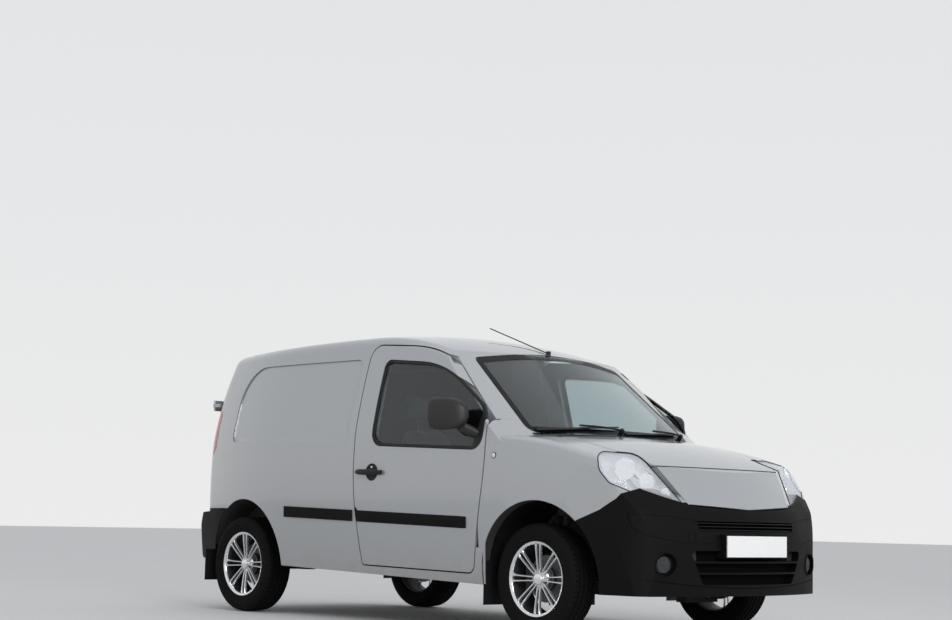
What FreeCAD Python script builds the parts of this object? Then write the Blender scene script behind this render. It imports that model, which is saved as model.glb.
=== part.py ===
import FreeCAD
import Part
import math
import os

# Panel van, in millimetres: +X is forward, +Y is the left side, +Z is up.
# The origin is on the ground, at mid length, on the centre plane.
V = FreeCAD.Vector

# Overall layout
LENGTH = 4213.0
FRONT_OVERHANG = 875.0
WHEELBASE = 2697.0
HALF_WIDTH = 912.0
GROUND = 0.0
FRONT_AXLE_X = LENGTH / 2 - FRONT_OVERHANG
REAR_AXLE_X = FRONT_AXLE_X - WHEELBASE
TRACK_FRONT = 1521.0
TRACK_REAR = 1533.0

# Wall thicknesses
SIDE_WALL = 55.0
ROOF_WALL = 42.0
TAIL_WALL = 55.0
NOSE_WALL = 45.0
BONNET_WALL = 32.0
SCREEN_WALL = 40.0
GLASS = 8.0
SHUT_GAP = 8.0
DOOR_LIP = 18.0
DOOR_STEP = 20.0
SEAM = 0.4

# Side section: height of the widest point and three arcs of the wall above it
WIDEST_Z = 780.0
LOWER_ARC_R = 3500.0
BELT_ARC_R = 1000.0
UPPER_ARC_R = 4500.0
BELT_START_Z = 1080.0
UPPER_LEAN = 12.0
SECTION_TOP_Z = 1900.0
SECTION_BOTTOM_Z = 150.0

# Plan taper of the sides
REAR_TAPER_X = -1000.0
REAR_TAPER_R = 3500.0
FRONT_TAPER_X = 900.0
FRONT_TAPER_R = 5000.0

# Wings: where they start behind the wheel, and the pillar foot that rises from them to the windscreen pillar
WING_START_X = 884.0
PILLAR_CUT_X = 866.0
PILLAR_FOOT_LOW_Z = 1060.0
PILLAR_FOOT_TOP_Z = 1200.0

# Roof
ROOF_PEAK_X = -350.0
ROOF_PEAK_Z = 1790.0
ROOF_REAR_R = 22000.0
ROOF_FRONT_R = 2500.0
ROOF_CROWN_R = 5200.0
RAIL_R = 100.0

ANTENNA_X = 478.0

# Windscreen: a point on its centre line, its rake and its bow
SCREEN_X = 1088.0
SCREEN_Z = 1195.0
SCREEN_RAKE = 38.4
SCREEN_R = 2600.0
PILLAR_R = 70.0

# Tail
TAIL_X = -2066.0
TAIL_CORNER_R = 190.0

# Bonnet
BONNET_REAR_X = 1215.0
BONNET_START_X = 1191.0
BONNET_START_Z = 1128.0
BONNET_START_SLOPE = 7.4
BONNET_R = 2400.0
BONNET_CROWN_R = 9000.0
SHOULDER_R = 60.0

# Nose
NOSE_X = 2094.0
NOSE_PLAN_R = 2100.0
NOSE_CORNER_R = 330.0

# Lower edges
SILL_Z = 262.0
BUMPER_BOTTOM_Z = 240.0
SILL_REAR_Z = 312.0

# Side outlines (x, z, corner radius), seen from the side
DOOR_OUTLINE = [
    (-313, 1698, 90), (405, 1650, 1150), (874, 1300, 340),
    (874, 900, 1500), (781, 318, 60), (-205, 337, 25), (-284, 800, 2500),
]
DOOR_WINDOW = [(-150, 1594, 50), (415, 1546, 900), (850, 1259, 150), (842, 1018, 90), (-134, 1057, 90)]
SIDE_RECESS = [(-355, 1604, 60), (-1645, 1604, 260), (-1645, 1108, 40), (-362, 1062, 60)]
MOULDING_TOP_Z = 669.0
MOULDING_SLOPE = -0.026
MOULDING_HEIGHT = 68.0
MOULDING_REAR_X = -953.0
MOULDING_FRONT_X = 728.0

# Seam of the bumper under the wing, lamp and closed grille panel, seen from the side
BUMPER_SEAM = [(1500, 610), (1560, 637), (1700, 692), (1800, 752), (1852, 808), (1993, 722), (2044, 706), (2250, 706)]
PANEL_TOP_Z = 936.0
PANEL_TOP_HALF = 530.0
PANEL_LOW_HALF = 440.0
PANEL_LOW_Z = 728.0
PANEL_TIP_Z = 706.0
PLATE_X = 2100.0
PLATE_HALF = 260.0
PLATE_Z = 452.0
PLATE_HEIGHT = 114.0
FOG_Y = 628.0
FOG_Z = 408.0
FOG_R = 44.0
FOG_POCKET_R = 60.0
FOG_DEPTH = 26.0

# Grooves in the bumper, seen from ahead (y, z, corner radius): the upper field and the cover of the towing eye
BUMPER_FIELD = [
    (-797, 675, 5), (-785, 600, 60), (-735, 560, 60), (-534, 524, 400), (0, 516, 0), (534, 524, 400), (735, 560, 60),
    (785, 600, 60), (797, 675, 5), (590, 665, 0), (440, 648, 20), (400, 616, 0), (-400, 616, 0), (-440, 648, 20), (-590, 665, 0),
]
TOW_COVER = [(-490, 529, 8), (-490, 579, 8), (-438, 579, 8), (-438, 529, 8)]
GROOVE = 3.0

MIRROR_Z = 1136.0
MIRROR_HEIGHT = 188.0

# Wiper strips, seen from ahead: (y, z)
WIPERS = [
    [(-655, 1140), (-60, 1178), (-60, 1188), (-655, 1152)],
    [(-45, 1140), (540, 1164), (540, 1174), (-45, 1150)],
]

# Headlamp outline on a plane that faces 45 degrees between ahead and sideways: (along, z, radius)
LAMP_OUTLINE = [(592, 1012, 45), (815, 1001, 110), (1075, 712, 12), (895, 742, 300), (655, 835, 60), (600, 905, 90)]

# Wheels
PIPE_R = 24.0
EXHAUST_Y = -375.0
EXHAUST_START_X = 1224.7
TYRE_R = 308.0
TYRE_WIDTH = 195.0
RIM_R = 203.0
RIM_FLANGE_R = 207.5
SPOKE_PAIRS = 8
SPOKE_WIDTH = 9.0
SPOKE_LEAN = 2.5
SPOKE_ROOT = 10.0
ARCH_FRONT_X = 1262.0
ARCH_FRONT_Z = 322.0
ARCH_FRONT_R = 418.0
ARCH_REAR_X = -1432.0
ARCH_REAR_Z = 305.0
ARCH_REAR_R = 425.0
KINGPIN_LOW_Y = 690.0
KINGPIN_LOW_Z = 190.0
STRUT_TOP_Y = 560.0
STRUT_TOP_Z = 850.0

# Hinges: door pins stand 16 mm inside the skin, rear door barrels just outside it
FIT = 0.3
HINGE_X = 811.0
HINGE_Y = 896.0
HINGE_ZS = (640.0, 900.0)
HINGE_PIN_R = 4.0
KINGPIN_LENGTH = math.hypot(KINGPIN_LOW_Y - STRUT_TOP_Y, STRUT_TOP_Z - KINGPIN_LOW_Z)
REAR_HINGE_X = -2080.0
REAR_HINGE_Y = 676.0
REAR_HINGE_ZS = (745.0, 1372.0)
REAR_BARREL_R = 8.0
BONNET_HINGE_X = 1228.0
BONNET_HINGE_Z = 1084.0
BONNET_HINGE_CLEAR = 46.0
BONNET_PIN_R = 5.0
BONNET_SWEEP_R = 28.0
DOOR_SWEEP_R = 19.5
WELL_INNER_Y = 484.0

# Steering wheel: its centre and the way it faces
WHEEL_CENTRE = (640.0, 390.0, 912.0)
WHEEL_TILT = 23.0
WHEEL_AXIS = (-math.cos(math.radians(WHEEL_TILT)), 0.0, math.sin(math.radians(WHEEL_TILT)))


def box(x0, x1, y0, y1, z0, z1):
    return Part.makeBox(x1 - x0, y1 - y0, z1 - z0, V(x0, y0, z0))


def mirror(shape):
    return shape.mirror(V(0, 0, 0), V(0, 1, 0))


def both(shape):
    return Part.makeCompound([shape, mirror(shape)])


def fuse(shapes):
    shapes = list(shapes)
    if len(shapes) == 1:
        return shapes[0]
    return shapes[0].fuse(shapes[1:]).removeSplitter()


def cut_each(shape, tools):
    """Cuts one tool at a time and keeps the largest solid."""
    for tool in tools:
        shape = shape.cut(tool)
    return max(shape.Solids, key=lambda s: s.Volume)


def cylinder_y(x, z, radius, y0, y1):
    return Part.makeCylinder(radius, y1 - y0, V(x, y0, z), V(0, 1, 0))


def rounded(points, place):
    """A closed wire through (u, v, corner radius) points, each placed by place(u, v)."""
    count = len(points)
    starts, arcs = [], []
    for i, (u, v, r) in enumerate(points):
        pu, pv, _ = points[i - 1]
        nu, nv, _ = points[(i + 1) % count]
        a = V(pu - u, pv - v, 0).normalize()
        b = V(nu - u, nv - v, 0).normalize()
        turn = math.pi - a.getAngle(b)
        here = V(u, v, 0)
        if r <= 0 or turn < 1e-6:
            starts.append((here, here))
            arcs.append(None)
            continue
        reach = r * math.tan(turn / 2)
        inward = (a + b).normalize()
        middle = here + inward * (r / math.cos(turn / 2) - r)
        starts.append((here + a * reach, here + b * reach))
        arcs.append(middle)
    edges = []
    for i in range(count):
        first, last = starts[i]
        if arcs[i] is not None:
            edges.append(Part.Arc(place(first), place(arcs[i]), place(last)).toShape())
        following = starts[(i + 1) % count][0]
        if last.distanceToPoint(following) > 1e-6:
            edges.append(Part.makeLine(place(last), place(following)))
    return Part.Wire(edges)


def rounded_path(points, radius):
    """Edges of an open run through 3-D points, each inner corner turned by an arc."""
    edges, last = [], V(*points[0])
    for before, here, after in zip(points, points[1:], points[2:]):
        corner = V(*here)
        a, b = (V(*before) - corner).normalize(), (V(*after) - corner).normalize()
        turn = math.pi - a.getAngle(b)
        reach = radius * math.tan(turn / 2)
        middle = corner + (a + b).normalize() * (radius / math.cos(turn / 2) - radius)
        edges.append(Part.makeLine(last, corner + a * reach))
        edges.append(Part.Arc(corner + a * reach, middle, corner + b * reach).toShape())
        last = corner + b * reach
    edges.append(Part.makeLine(last, V(*points[-1])))
    return edges


def side_prism(points, y0=-1300.0, y1=1300.0, grow=0.0):
    """The outline (x, z, radius), grown by grow, extruded across the vehicle."""
    wire = rounded(points, lambda p: V(p.x, y0, p.y))
    face = Part.Face(wire)
    if grow:
        face = face.makeOffset2D(grow)
    return face.extrude(V(0, y1 - y0, 0))


def plan_prism(points, z0=0.0, z1=2200.0):
    wire = rounded(points, lambda p: V(p.x, p.y, z0))
    return Part.Face(wire).extrude(V(0, 0, z1 - z0))


def front_prism(points, x0, x1, grow=0.0):
    wire = rounded(points, lambda p: V(x0, p.x, p.y))
    face = Part.Face(wire)
    if grow:
        face = face.makeOffset2D(grow)
    return face.extrude(V(x1 - x0, 0, 0))


def section_face(x, inset):
    """Area from the centre plane out to the left wall, at x."""
    lower_c = V(x, HALF_WIDTH - LOWER_ARC_R, WIDEST_Z)
    a0 = math.asin((SECTION_BOTTOM_Z - WIDEST_Z) / LOWER_ARC_R)
    a1 = math.asin((BELT_START_Z - WIDEST_Z) / LOWER_ARC_R)
    a2 = math.radians(UPPER_LEAN)

    def at(centre, radius, angle):
        return centre + V(0, math.cos(angle), math.sin(angle)) * radius

    belt_c = at(lower_c, LOWER_ARC_R - BELT_ARC_R, a1)
    upper_c = at(belt_c, BELT_ARC_R - UPPER_ARC_R, a2)
    a3 = math.asin((SECTION_TOP_Z - upper_c.z) / UPPER_ARC_R)
    edges = []
    for centre, radius, start, end in (
        (lower_c, LOWER_ARC_R, a0, a1),
        (belt_c, BELT_ARC_R, a1, a2),
        (upper_c, UPPER_ARC_R, a2, a3),
    ):
        r = radius - inset
        edges.append(Part.Arc(at(centre, r, start), at(centre, r, (start + end) / 2), at(centre, r, end)).toShape())
    first = edges[0].valueAt(edges[0].FirstParameter)
    last = edges[-1].valueAt(edges[-1].LastParameter)
    far = 0.0
    edges.append(Part.makeLine(last, V(x, far, last.z)))
    edges.append(Part.makeLine(V(x, far, last.z), V(x, far, first.z)))
    edges.append(Part.makeLine(V(x, far, first.z), first))
    return Part.Face(Part.Wire(Part.__sortEdges__(edges)))


def side_solid(inset):
    """Everything between the two walls."""
    middle = section_face(REAR_TAPER_X, inset).extrude(V(FRONT_TAPER_X - REAR_TAPER_X, 0, 0))
    rear = section_face(REAR_TAPER_X, inset).revolve(V(REAR_TAPER_X, HALF_WIDTH - REAR_TAPER_R, 0), V(0, 0, 1), 21.0)
    front = section_face(FRONT_TAPER_X, inset).revolve(
        V(FRONT_TAPER_X, HALF_WIDTH - FRONT_TAPER_R, 0), V(0, 0, 1), -16.0
    )
    core = box(-2300, 2300, -1300, 200, SECTION_BOTTOM_Z, SECTION_TOP_Z)
    left = fuse([middle, rear, front, core])
    return left.common(mirror(left))


def crown_face(x, top_z, crown_r, height):
    """Area above a crowned line at x."""
    half = 1300.0
    dip = crown_r - math.sqrt(crown_r ** 2 - half ** 2)
    arc = Part.Arc(V(x, -half, top_z - dip), V(x, 0, top_z), V(x, half, top_z - dip)).toShape()
    a, b = V(x, half, top_z + height), V(x, -half, top_z + height)
    lines = [Part.makeLine(V(x, half, top_z - dip), a), Part.makeLine(a, b), Part.makeLine(b, V(x, -half, top_z - dip))]
    return Part.Face(Part.Wire([arc] + lines))


def above_roof(inset):
    top = ROOF_PEAK_Z - inset
    face = crown_face(ROOF_PEAK_X, top, ROOF_CROWN_R - inset, 500.0)
    rear = face.revolve(V(ROOF_PEAK_X, 0, ROOF_PEAK_Z - ROOF_REAR_R), V(0, 1, 0), -5.0)
    front = face.revolve(V(ROOF_PEAK_X, 0, ROOF_PEAK_Z - ROOF_FRONT_R), V(0, 1, 0), 33.0)
    return [rear, front]


def screen_solid(inset):
    rake = math.radians(SCREEN_RAKE)
    along = V(-math.cos(rake), 0, math.sin(rake))
    out = V(math.sin(rake), 0, math.cos(rake))
    axis = V(SCREEN_X, 0, SCREEN_Z) - out * SCREEN_R
    return Part.makeCylinder(SCREEN_R - inset, 9000.0, axis - along * 4500.0, along)


def tail_solid(inset):
    return side_prism([
        (TAIL_X + 6 + inset, 60, 0),
        (1320, 60, 0),
        (1320, 2100, 0),
        (TAIL_X + 195 + inset, 2100, 0),
        (TAIL_X + 12 + inset, 1400, 900),
        (TAIL_X + inset, 1000, 1500),
    ])


def edges_where(shape, test):
    found = []
    for edge in shape.Edges:
        if edge.Length < 2.0:
            continue
        points = [edge.valueAt(edge.FirstParameter + f * (edge.LastParameter - edge.FirstParameter)) for f in (0.1, 0.5, 0.9)]
        if all(test(p) for p in points):
            found.append(edge)
    return found


def rear_hull(side, roof, tail, screen):
    """Cargo box and cab between their walls, each face set in by its own wall."""
    hull = side_solid(side).common(tail_solid(tail)).common(screen_solid(screen))
    hull = hull.cut(above_roof(roof))
    corners = edges_where(hull, lambda p: p.x < TAIL_X + 290 and abs(p.y) > 480 and p.z < 1700)
    hull = hull.makeFillet(TAIL_CORNER_R - max(side, tail), corners)
    rails = edges_where(hull, lambda p: p.z > 1560 and p.x < 560 and abs(p.y) > 300)
    rails = [e for e in rails if e.BoundBox.XMax < 420 and e.BoundBox.YLength < 240]
    hull = hull.makeFillet(RAIL_R - max(side, roof), rails)
    return hull.Solids[0]


def bonnet_above(inset):
    slope = math.radians(BONNET_START_SLOPE)
    centre_x = BONNET_START_X - BONNET_R * math.sin(slope)
    centre_z = BONNET_START_Z - BONNET_R * math.cos(slope)
    face = crown_face(centre_x, centre_z + BONNET_R - inset, BONNET_CROWN_R - inset, 500.0)
    return face.revolve(V(centre_x, 0, centre_z), V(0, 1, 0), 34.0)


def nose_solid(inset):
    axis_x = NOSE_X - NOSE_PLAN_R
    profile = rounded([
        (axis_x, 60, 0),
        (NOSE_X - 30 - inset, 60, 0),
        (NOSE_X - inset, 520, 900),
        (NOSE_X - 46 - inset, 700, 130),
        (NOSE_X - 400 - inset, 1255, 0),
        (axis_x, 1255, 0),
    ], lambda p: V(p.x, 0, p.y))
    face = Part.Face(profile)
    face.rotate(V(axis_x, 0, 0), V(0, 0, 1), -52.0)
    return face.revolve(V(axis_x, 0, 0), V(0, 0, 1), 104.0)


def nose_corners(inset):
    """Plan outline that rounds the nose into the sides."""
    corner_x, corner_y = NOSE_X - 157.0, HALF_WIDTH - 106.0
    rise = 700.0
    wire = rounded([
        (800, 985, 0),
        (corner_x, corner_y, NOSE_CORNER_R),
        (corner_x + 0.353 * rise, corner_y - rise, 0),
        (corner_x + 0.353 * rise, rise - corner_y, 0),
        (corner_x, -corner_y, NOSE_CORNER_R),
        (800, -985, 0),
    ], lambda p: V(p.x, p.y, 100))
    face = Part.Face(wire)
    if inset:
        face = face.makeOffset2D(-inset)
    return face.extrude(V(0, 0, 1200))


def front_hull(side, nose, bonnet):
    """Bonnet, wings and nose between their walls."""
    hull = side_solid(side).common(box(WING_START_X, 2300, -1100, 1100, 160, 1200))
    hull = hull.common(nose_solid(nose)).common(nose_corners(nose)).cut(bonnet_above(bonnet))
    shoulders = [
        e for e in hull.Edges
        if e.BoundBox.ZMax < 1190 and e.BoundBox.ZMin > 880 and e.BoundBox.XLength > 300
        and (e.BoundBox.YMin > 500 or e.BoundBox.YMax < -500)
    ]
    return hull.makeFillet(SHOULDER_R - max(side, bonnet) / 2, shoulders).Solids[0]


def outer_shapes():
    rear = rear_hull(0, 0, 0, 0)
    front = front_hull(0, 0, 0)
    rear_shell = rear.cut(rear_hull(SIDE_WALL, ROOF_WALL, TAIL_WALL, SCREEN_WALL))
    front_shell = front.cut(front_hull(SIDE_WALL, NOSE_WALL, BONNET_WALL))
    return rear, front, rear_shell, front_shell


def half(sign):
    """Everything on one side: +1 is the left."""
    return box(-2500, 2500, 1, 1300, 0, 2200) if sign > 0 else box(-2500, 2500, -1300, -1, 0, 2200)


def lamp_prism(sign, grow=0.0):
    """The headlamp outline on the right side, pushed through the corner, or its mirror image."""
    quarter = math.cos(math.radians(45))

    def place(p, depth):
        return V(p.x * quarter + depth * quarter, p.x * quarter - depth * quarter, p.y)

    wire = rounded(LAMP_OUTLINE, lambda p: place(p, 1100.0))
    face = Part.Face(wire)
    if grow:
        face = face.makeOffset2D(grow)
    prism = face.extrude(V(quarter, -quarter, 0) * 1500.0)
    return prism if sign < 0 else mirror(prism)


def bumper_zone():
    lower = [(1000, 0), (2300, 0)] + [(x, z) for x, z in reversed(BUMPER_SEAM)] + [(1000, 610)]
    return side_prism([(x, z, 0) for x, z in lower])


def panel_zone(grow=0.0):
    points = [
        (-PANEL_TOP_HALF, PANEL_TOP_Z, 0), (PANEL_TOP_HALF, PANEL_TOP_Z, 0), (PANEL_LOW_HALF, PANEL_LOW_Z, 0),
        (0, PANEL_TIP_Z, 0), (-PANEL_LOW_HALF, PANEL_LOW_Z, 0),
    ]
    return front_prism(points, 1600, 2300, grow)


def bonnet_zone(grow=0.0):
    wire = rounded([
        (BONNET_REAR_X, 672, 30), (1711, 598, 200), (1840, 525, 0), (2300, 525, 0),
        (2300, -525, 0), (1840, -525, 0), (1711, -598, 200), (BONNET_REAR_X, -672, 30),
    ], lambda p: V(p.x, p.y, PANEL_TOP_Z + SEAM))
    face = Part.Face(wire)
    if grow:
        face = face.makeOffset2D(grow)
    return face.extrude(V(0, 0, 500))


def cowl_zone(grow=0.0):
    wire = rounded([
        (BONNET_REAR_X - SEAM, 672, 0), (BONNET_REAR_X - SEAM, -672, 0), (985, -690, 0), (985, 690, 0),
    ], lambda p: V(p.x, p.y, 950))
    face = Part.Face(wire)
    if grow:
        face = face.makeOffset2D(grow)
    return face.extrude(V(0, 0, 175))


def screen_zone(grow=0.0):
    return front_prism([(-700, 1128, 40), (-628, 1588, 40), (0, 1668, 3500), (628, 1588, 40), (700, 1128, 40)], 300, 1400, grow)


def roof_zone():
    return plan_prism([(-1905, -560, 60), (-1700, -612, 600), (560, -612, 0), (560, 612, 0), (-1700, 612, 600), (-1905, 560, 60)], 1450)


def tail_door_zone(grow=0.0):
    """Both rear doors' outline, seen from behind."""
    return front_prism([
        (-668, 585, 60), (-668, 1000, 2500), (-560, 1672, 90), (560, 1672, 90), (668, 1000, 2500), (668, 585, 60),
    ], -2200, -1850, grow)


def tail_lamp_zone(sign, grow=0.0):
    face = Part.Face(rounded([(676, 845, 25), (668, 1010, 0), (622, 1345, 20), (900, 1345, 0), (900, 845, 0)],
                             lambda p: V(-2200, p.x * sign, p.y)))
    if grow:
        face = face.makeOffset2D(grow)
    prism = face.extrude(V(400, 0, 0))
    return prism.common(box(-2200, -1958 + grow, -1000, 1000, 700, 1500))


def arches(grow=0.0):
    """Cut of the wheel openings through the sides."""
    return [
        cylinder_y(ARCH_FRONT_X, ARCH_FRONT_Z, ARCH_FRONT_R + grow, -1200, 1200),
        cylinder_y(ARCH_REAR_X, ARCH_REAR_Z, ARCH_REAR_R + grow, -1200, 1200),
    ]


def below_sill():
    return side_prism([
        (-2300, 0, 0), (2300, 0, 0), (2300, 200, 0), (ARCH_FRONT_X, 240, 0),
        (862, SILL_Z, 0), (-1000, SILL_REAR_Z, 0), (-2300, 330, 0),
    ])


def rear_bumper():
    hull = side_solid(-10.0).common(side_prism([
        (-LENGTH / 2, 330, 30), (-LENGTH / 2, 560, 60), (-2060, 640, 20), (-1560, 668, 0), (-1560, 330, 0),
    ]))
    hull = hull.common(plan_prism([(-LENGTH / 2, -905, 170), (-1500, -965, 0), (-1500, 965, 0), (-LENGTH / 2, 905, 170)]))
    inner = side_solid(SIDE_WALL).common(box(-2060 + 15, 0, -1100, 1100, 0, 700))
    return hull.cut(inner)


def wheel(x, y, sign):
    """Alloy rim and tyre with the outer face towards sign."""
    half_w = TYRE_WIDTH / 2
    # Tyre section: (radius, offset from the wheel's middle plane)
    outer = [(RIM_R, 1.0), (TYRE_R - 30, 1.0), (TYRE_R, 0.72)]
    section = [(r, f * half_w) for r, f in outer] + [(r, -f * half_w) for r, f in reversed(outer)]
    tyre = Part.makePolygon([V(x, y + q, TYRE_R + r) for r, q in section + section[:1]])
    tyre = Part.Face(tyre).revolve(V(x, y, TYRE_R), V(0, 1, 0), 360)
    # Rim section: barrel, outer lip and a dished disc
    s = sign
    rim = rounded([
        (RIM_R - 0.3, -half_w * 0.78, 0), (RIM_R - 0.3, half_w * 0.78, 0), (RIM_R - 14, half_w * 0.84, 4),
        (RIM_R - 22, half_w * 0.70, 8), (RIM_R - 30, -half_w * 0.2, 10), (RIM_R - 22, -half_w * 0.78, 0),
    ], lambda p: V(x, y + s * p.y, TYRE_R + p.x))
    rim = Part.Face(rim).revolve(V(x, y, TYRE_R), V(0, 1, 0), 360)
    hub = cylinder_y(x, TYRE_R, 58, min(y + s * 22, y + s * 62), max(y + s * 22, y + s * 62))
    cap = cylinder_y(x, TYRE_R, 30, min(y + s * 60, y + s * 70), max(y + s * 60, y + s * 70))
    spokes = []
    for k in range(SPOKE_PAIRS):
        for lean in (-1, 1):
            # (height above the hub's middle, offset outwards) of one spoke, seen along the wheel's rim
            arm = Part.Wire([e for e in Part.makePolygon([V(x, y + s * p, TYRE_R + q) for q, p in (
                (44, 40), (RIM_R - 18, 56), (RIM_R - 18, 72), (120, 66), (44, 60), (44, 40),
            )]).Edges])
            spoke = Part.Face(arm).extrude(V(SPOKE_WIDTH, 0, 0))
            spoke.translate(V(-SPOKE_WIDTH / 2, 0, 0))
            spoke.rotate(V(x, y, TYRE_R + 44), V(0, 1, 0), lean * SPOKE_LEAN)
            spoke.translate(V(lean * SPOKE_ROOT, 0, 0))
            spoke.rotate(V(x, y, TYRE_R), V(0, 1, 0), 360.0 * k / SPOKE_PAIRS)
            spokes.append(spoke)
    return tyre, fuse([rim, hub, cap] + spokes)


def knuckle(sign):
    """Steered carrier: hub, brake disc, ball joint arm, caliper and the strut that turns with them."""
    y = TRACK_FRONT / 2 * sign

    def across(radius, a, b, z=TYRE_R):
        return cylinder_y(FRONT_AXLE_X, z, radius, min(a, b), max(a, b))

    hub = across(34, y - sign * 92, y + sign * 21.7)
    disc = across(130, y - sign * 26, y - sign * 4)
    strut = kingpin_disc(sign, 0, 20, KINGPIN_LENGTH)
    carrier = kingpin_disc(sign, 70, 31, 170)
    spring = kingpin_disc(sign, 470, 58, 180)
    caliper = box(FRONT_AXLE_X - 142, FRONT_AXLE_X - 84, min(y - sign * 50, y + sign * 16), max(y - sign * 50, y + sign * 16), 240, 376)
    return fuse([hub, disc, strut, carrier, spring, caliper])


def kingpin_disc(sign, along, radius, length):
    """A disc on the steering axis, along mm from the lower ball joint."""
    foot = V(FRONT_AXLE_X, KINGPIN_LOW_Y * sign, KINGPIN_LOW_Z)
    head = V(FRONT_AXLE_X, STRUT_TOP_Y * sign, STRUT_TOP_Z)
    up = (head - foot).normalize()
    return Part.makeCylinder(radius, length, foot + up * along, up)


def pin(x, y, z, radius, height):
    return Part.makeCylinder(radius, height, V(x, y, z - height / 2), V(0, 0, 1))


def door_hinge(z):
    """Right front door: bracket on the pillar, pocket in the door, pin in the door."""
    y, inner = -HINGE_Y, -820.0
    eye = pin(HINGE_X, y, z, HINGE_PIN_R + 2.5, 24)
    neck = box(HINGE_X - 7, HINGE_X + 7, y, inner + 8, z - 12, z + 12)
    arm = box(HINGE_X - 7, 908, inner - 12, inner + 8, z - 12, z + 12)
    foot = box(876, 908, -880, inner + 8, z - 20, z + 20)
    bracket = fuse([eye, neck, arm, foot]).cut(pin(HINGE_X, y, z, HINGE_PIN_R + FIT, 40))
    pocket = box(HINGE_X - 16, 900, y - 8.5, -800, z - 17, z + 17)
    return bracket, pocket, pin(HINGE_X, y, z, HINGE_PIN_R, 60)


def rear_hinge(z, door_edge):
    """Right rear door: barrel outside the skin, with a strap on the door and a leaf on the body."""
    x, y = REAR_HINGE_X, -REAR_HINGE_Y
    third = 24.0
    core = pin(x, y, z, REAR_BARREL_R / 2, third * 3)
    ends = [pin(x, y, z + side * third, REAR_BARREL_R, third - FIT) for side in (-1, 1)]
    strap = box(x - 4, x + 2, y, door_edge + 70, z - third * 1.5, z + third * 1.5)
    feet = box(x - 4, TAIL_X + 40, door_edge + 20, door_edge + 70, z - third * 1.5, z + third * 1.5)
    gap = pin(x, y, z, REAR_BARREL_R + 2, third + FIT)
    on_door = fuse([strap, feet, ends[0], ends[1]]).cut(gap)
    on_door = fuse([on_door, core])
    middle = pin(x, y, z, REAR_BARREL_R, third - FIT)
    leaf = box(x - 2, TAIL_X + 66, y - 14, y + 4, z - third / 2 + FIT, z + third / 2 - FIT)
    on_body = fuse([middle, leaf]).cut(pin(x, y, z, REAR_BARREL_R / 2 + FIT, third * 4))
    return on_door, on_body


def step_back(door, zone):
    """Sets the door's inner part back from its edge, so that the edge clears as it swings."""
    return door.cut(side_solid(DOOR_LIP).common(box(-2000 - 11, 2000, -1200, 1200, 0, 2000)).cut(zone))


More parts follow.
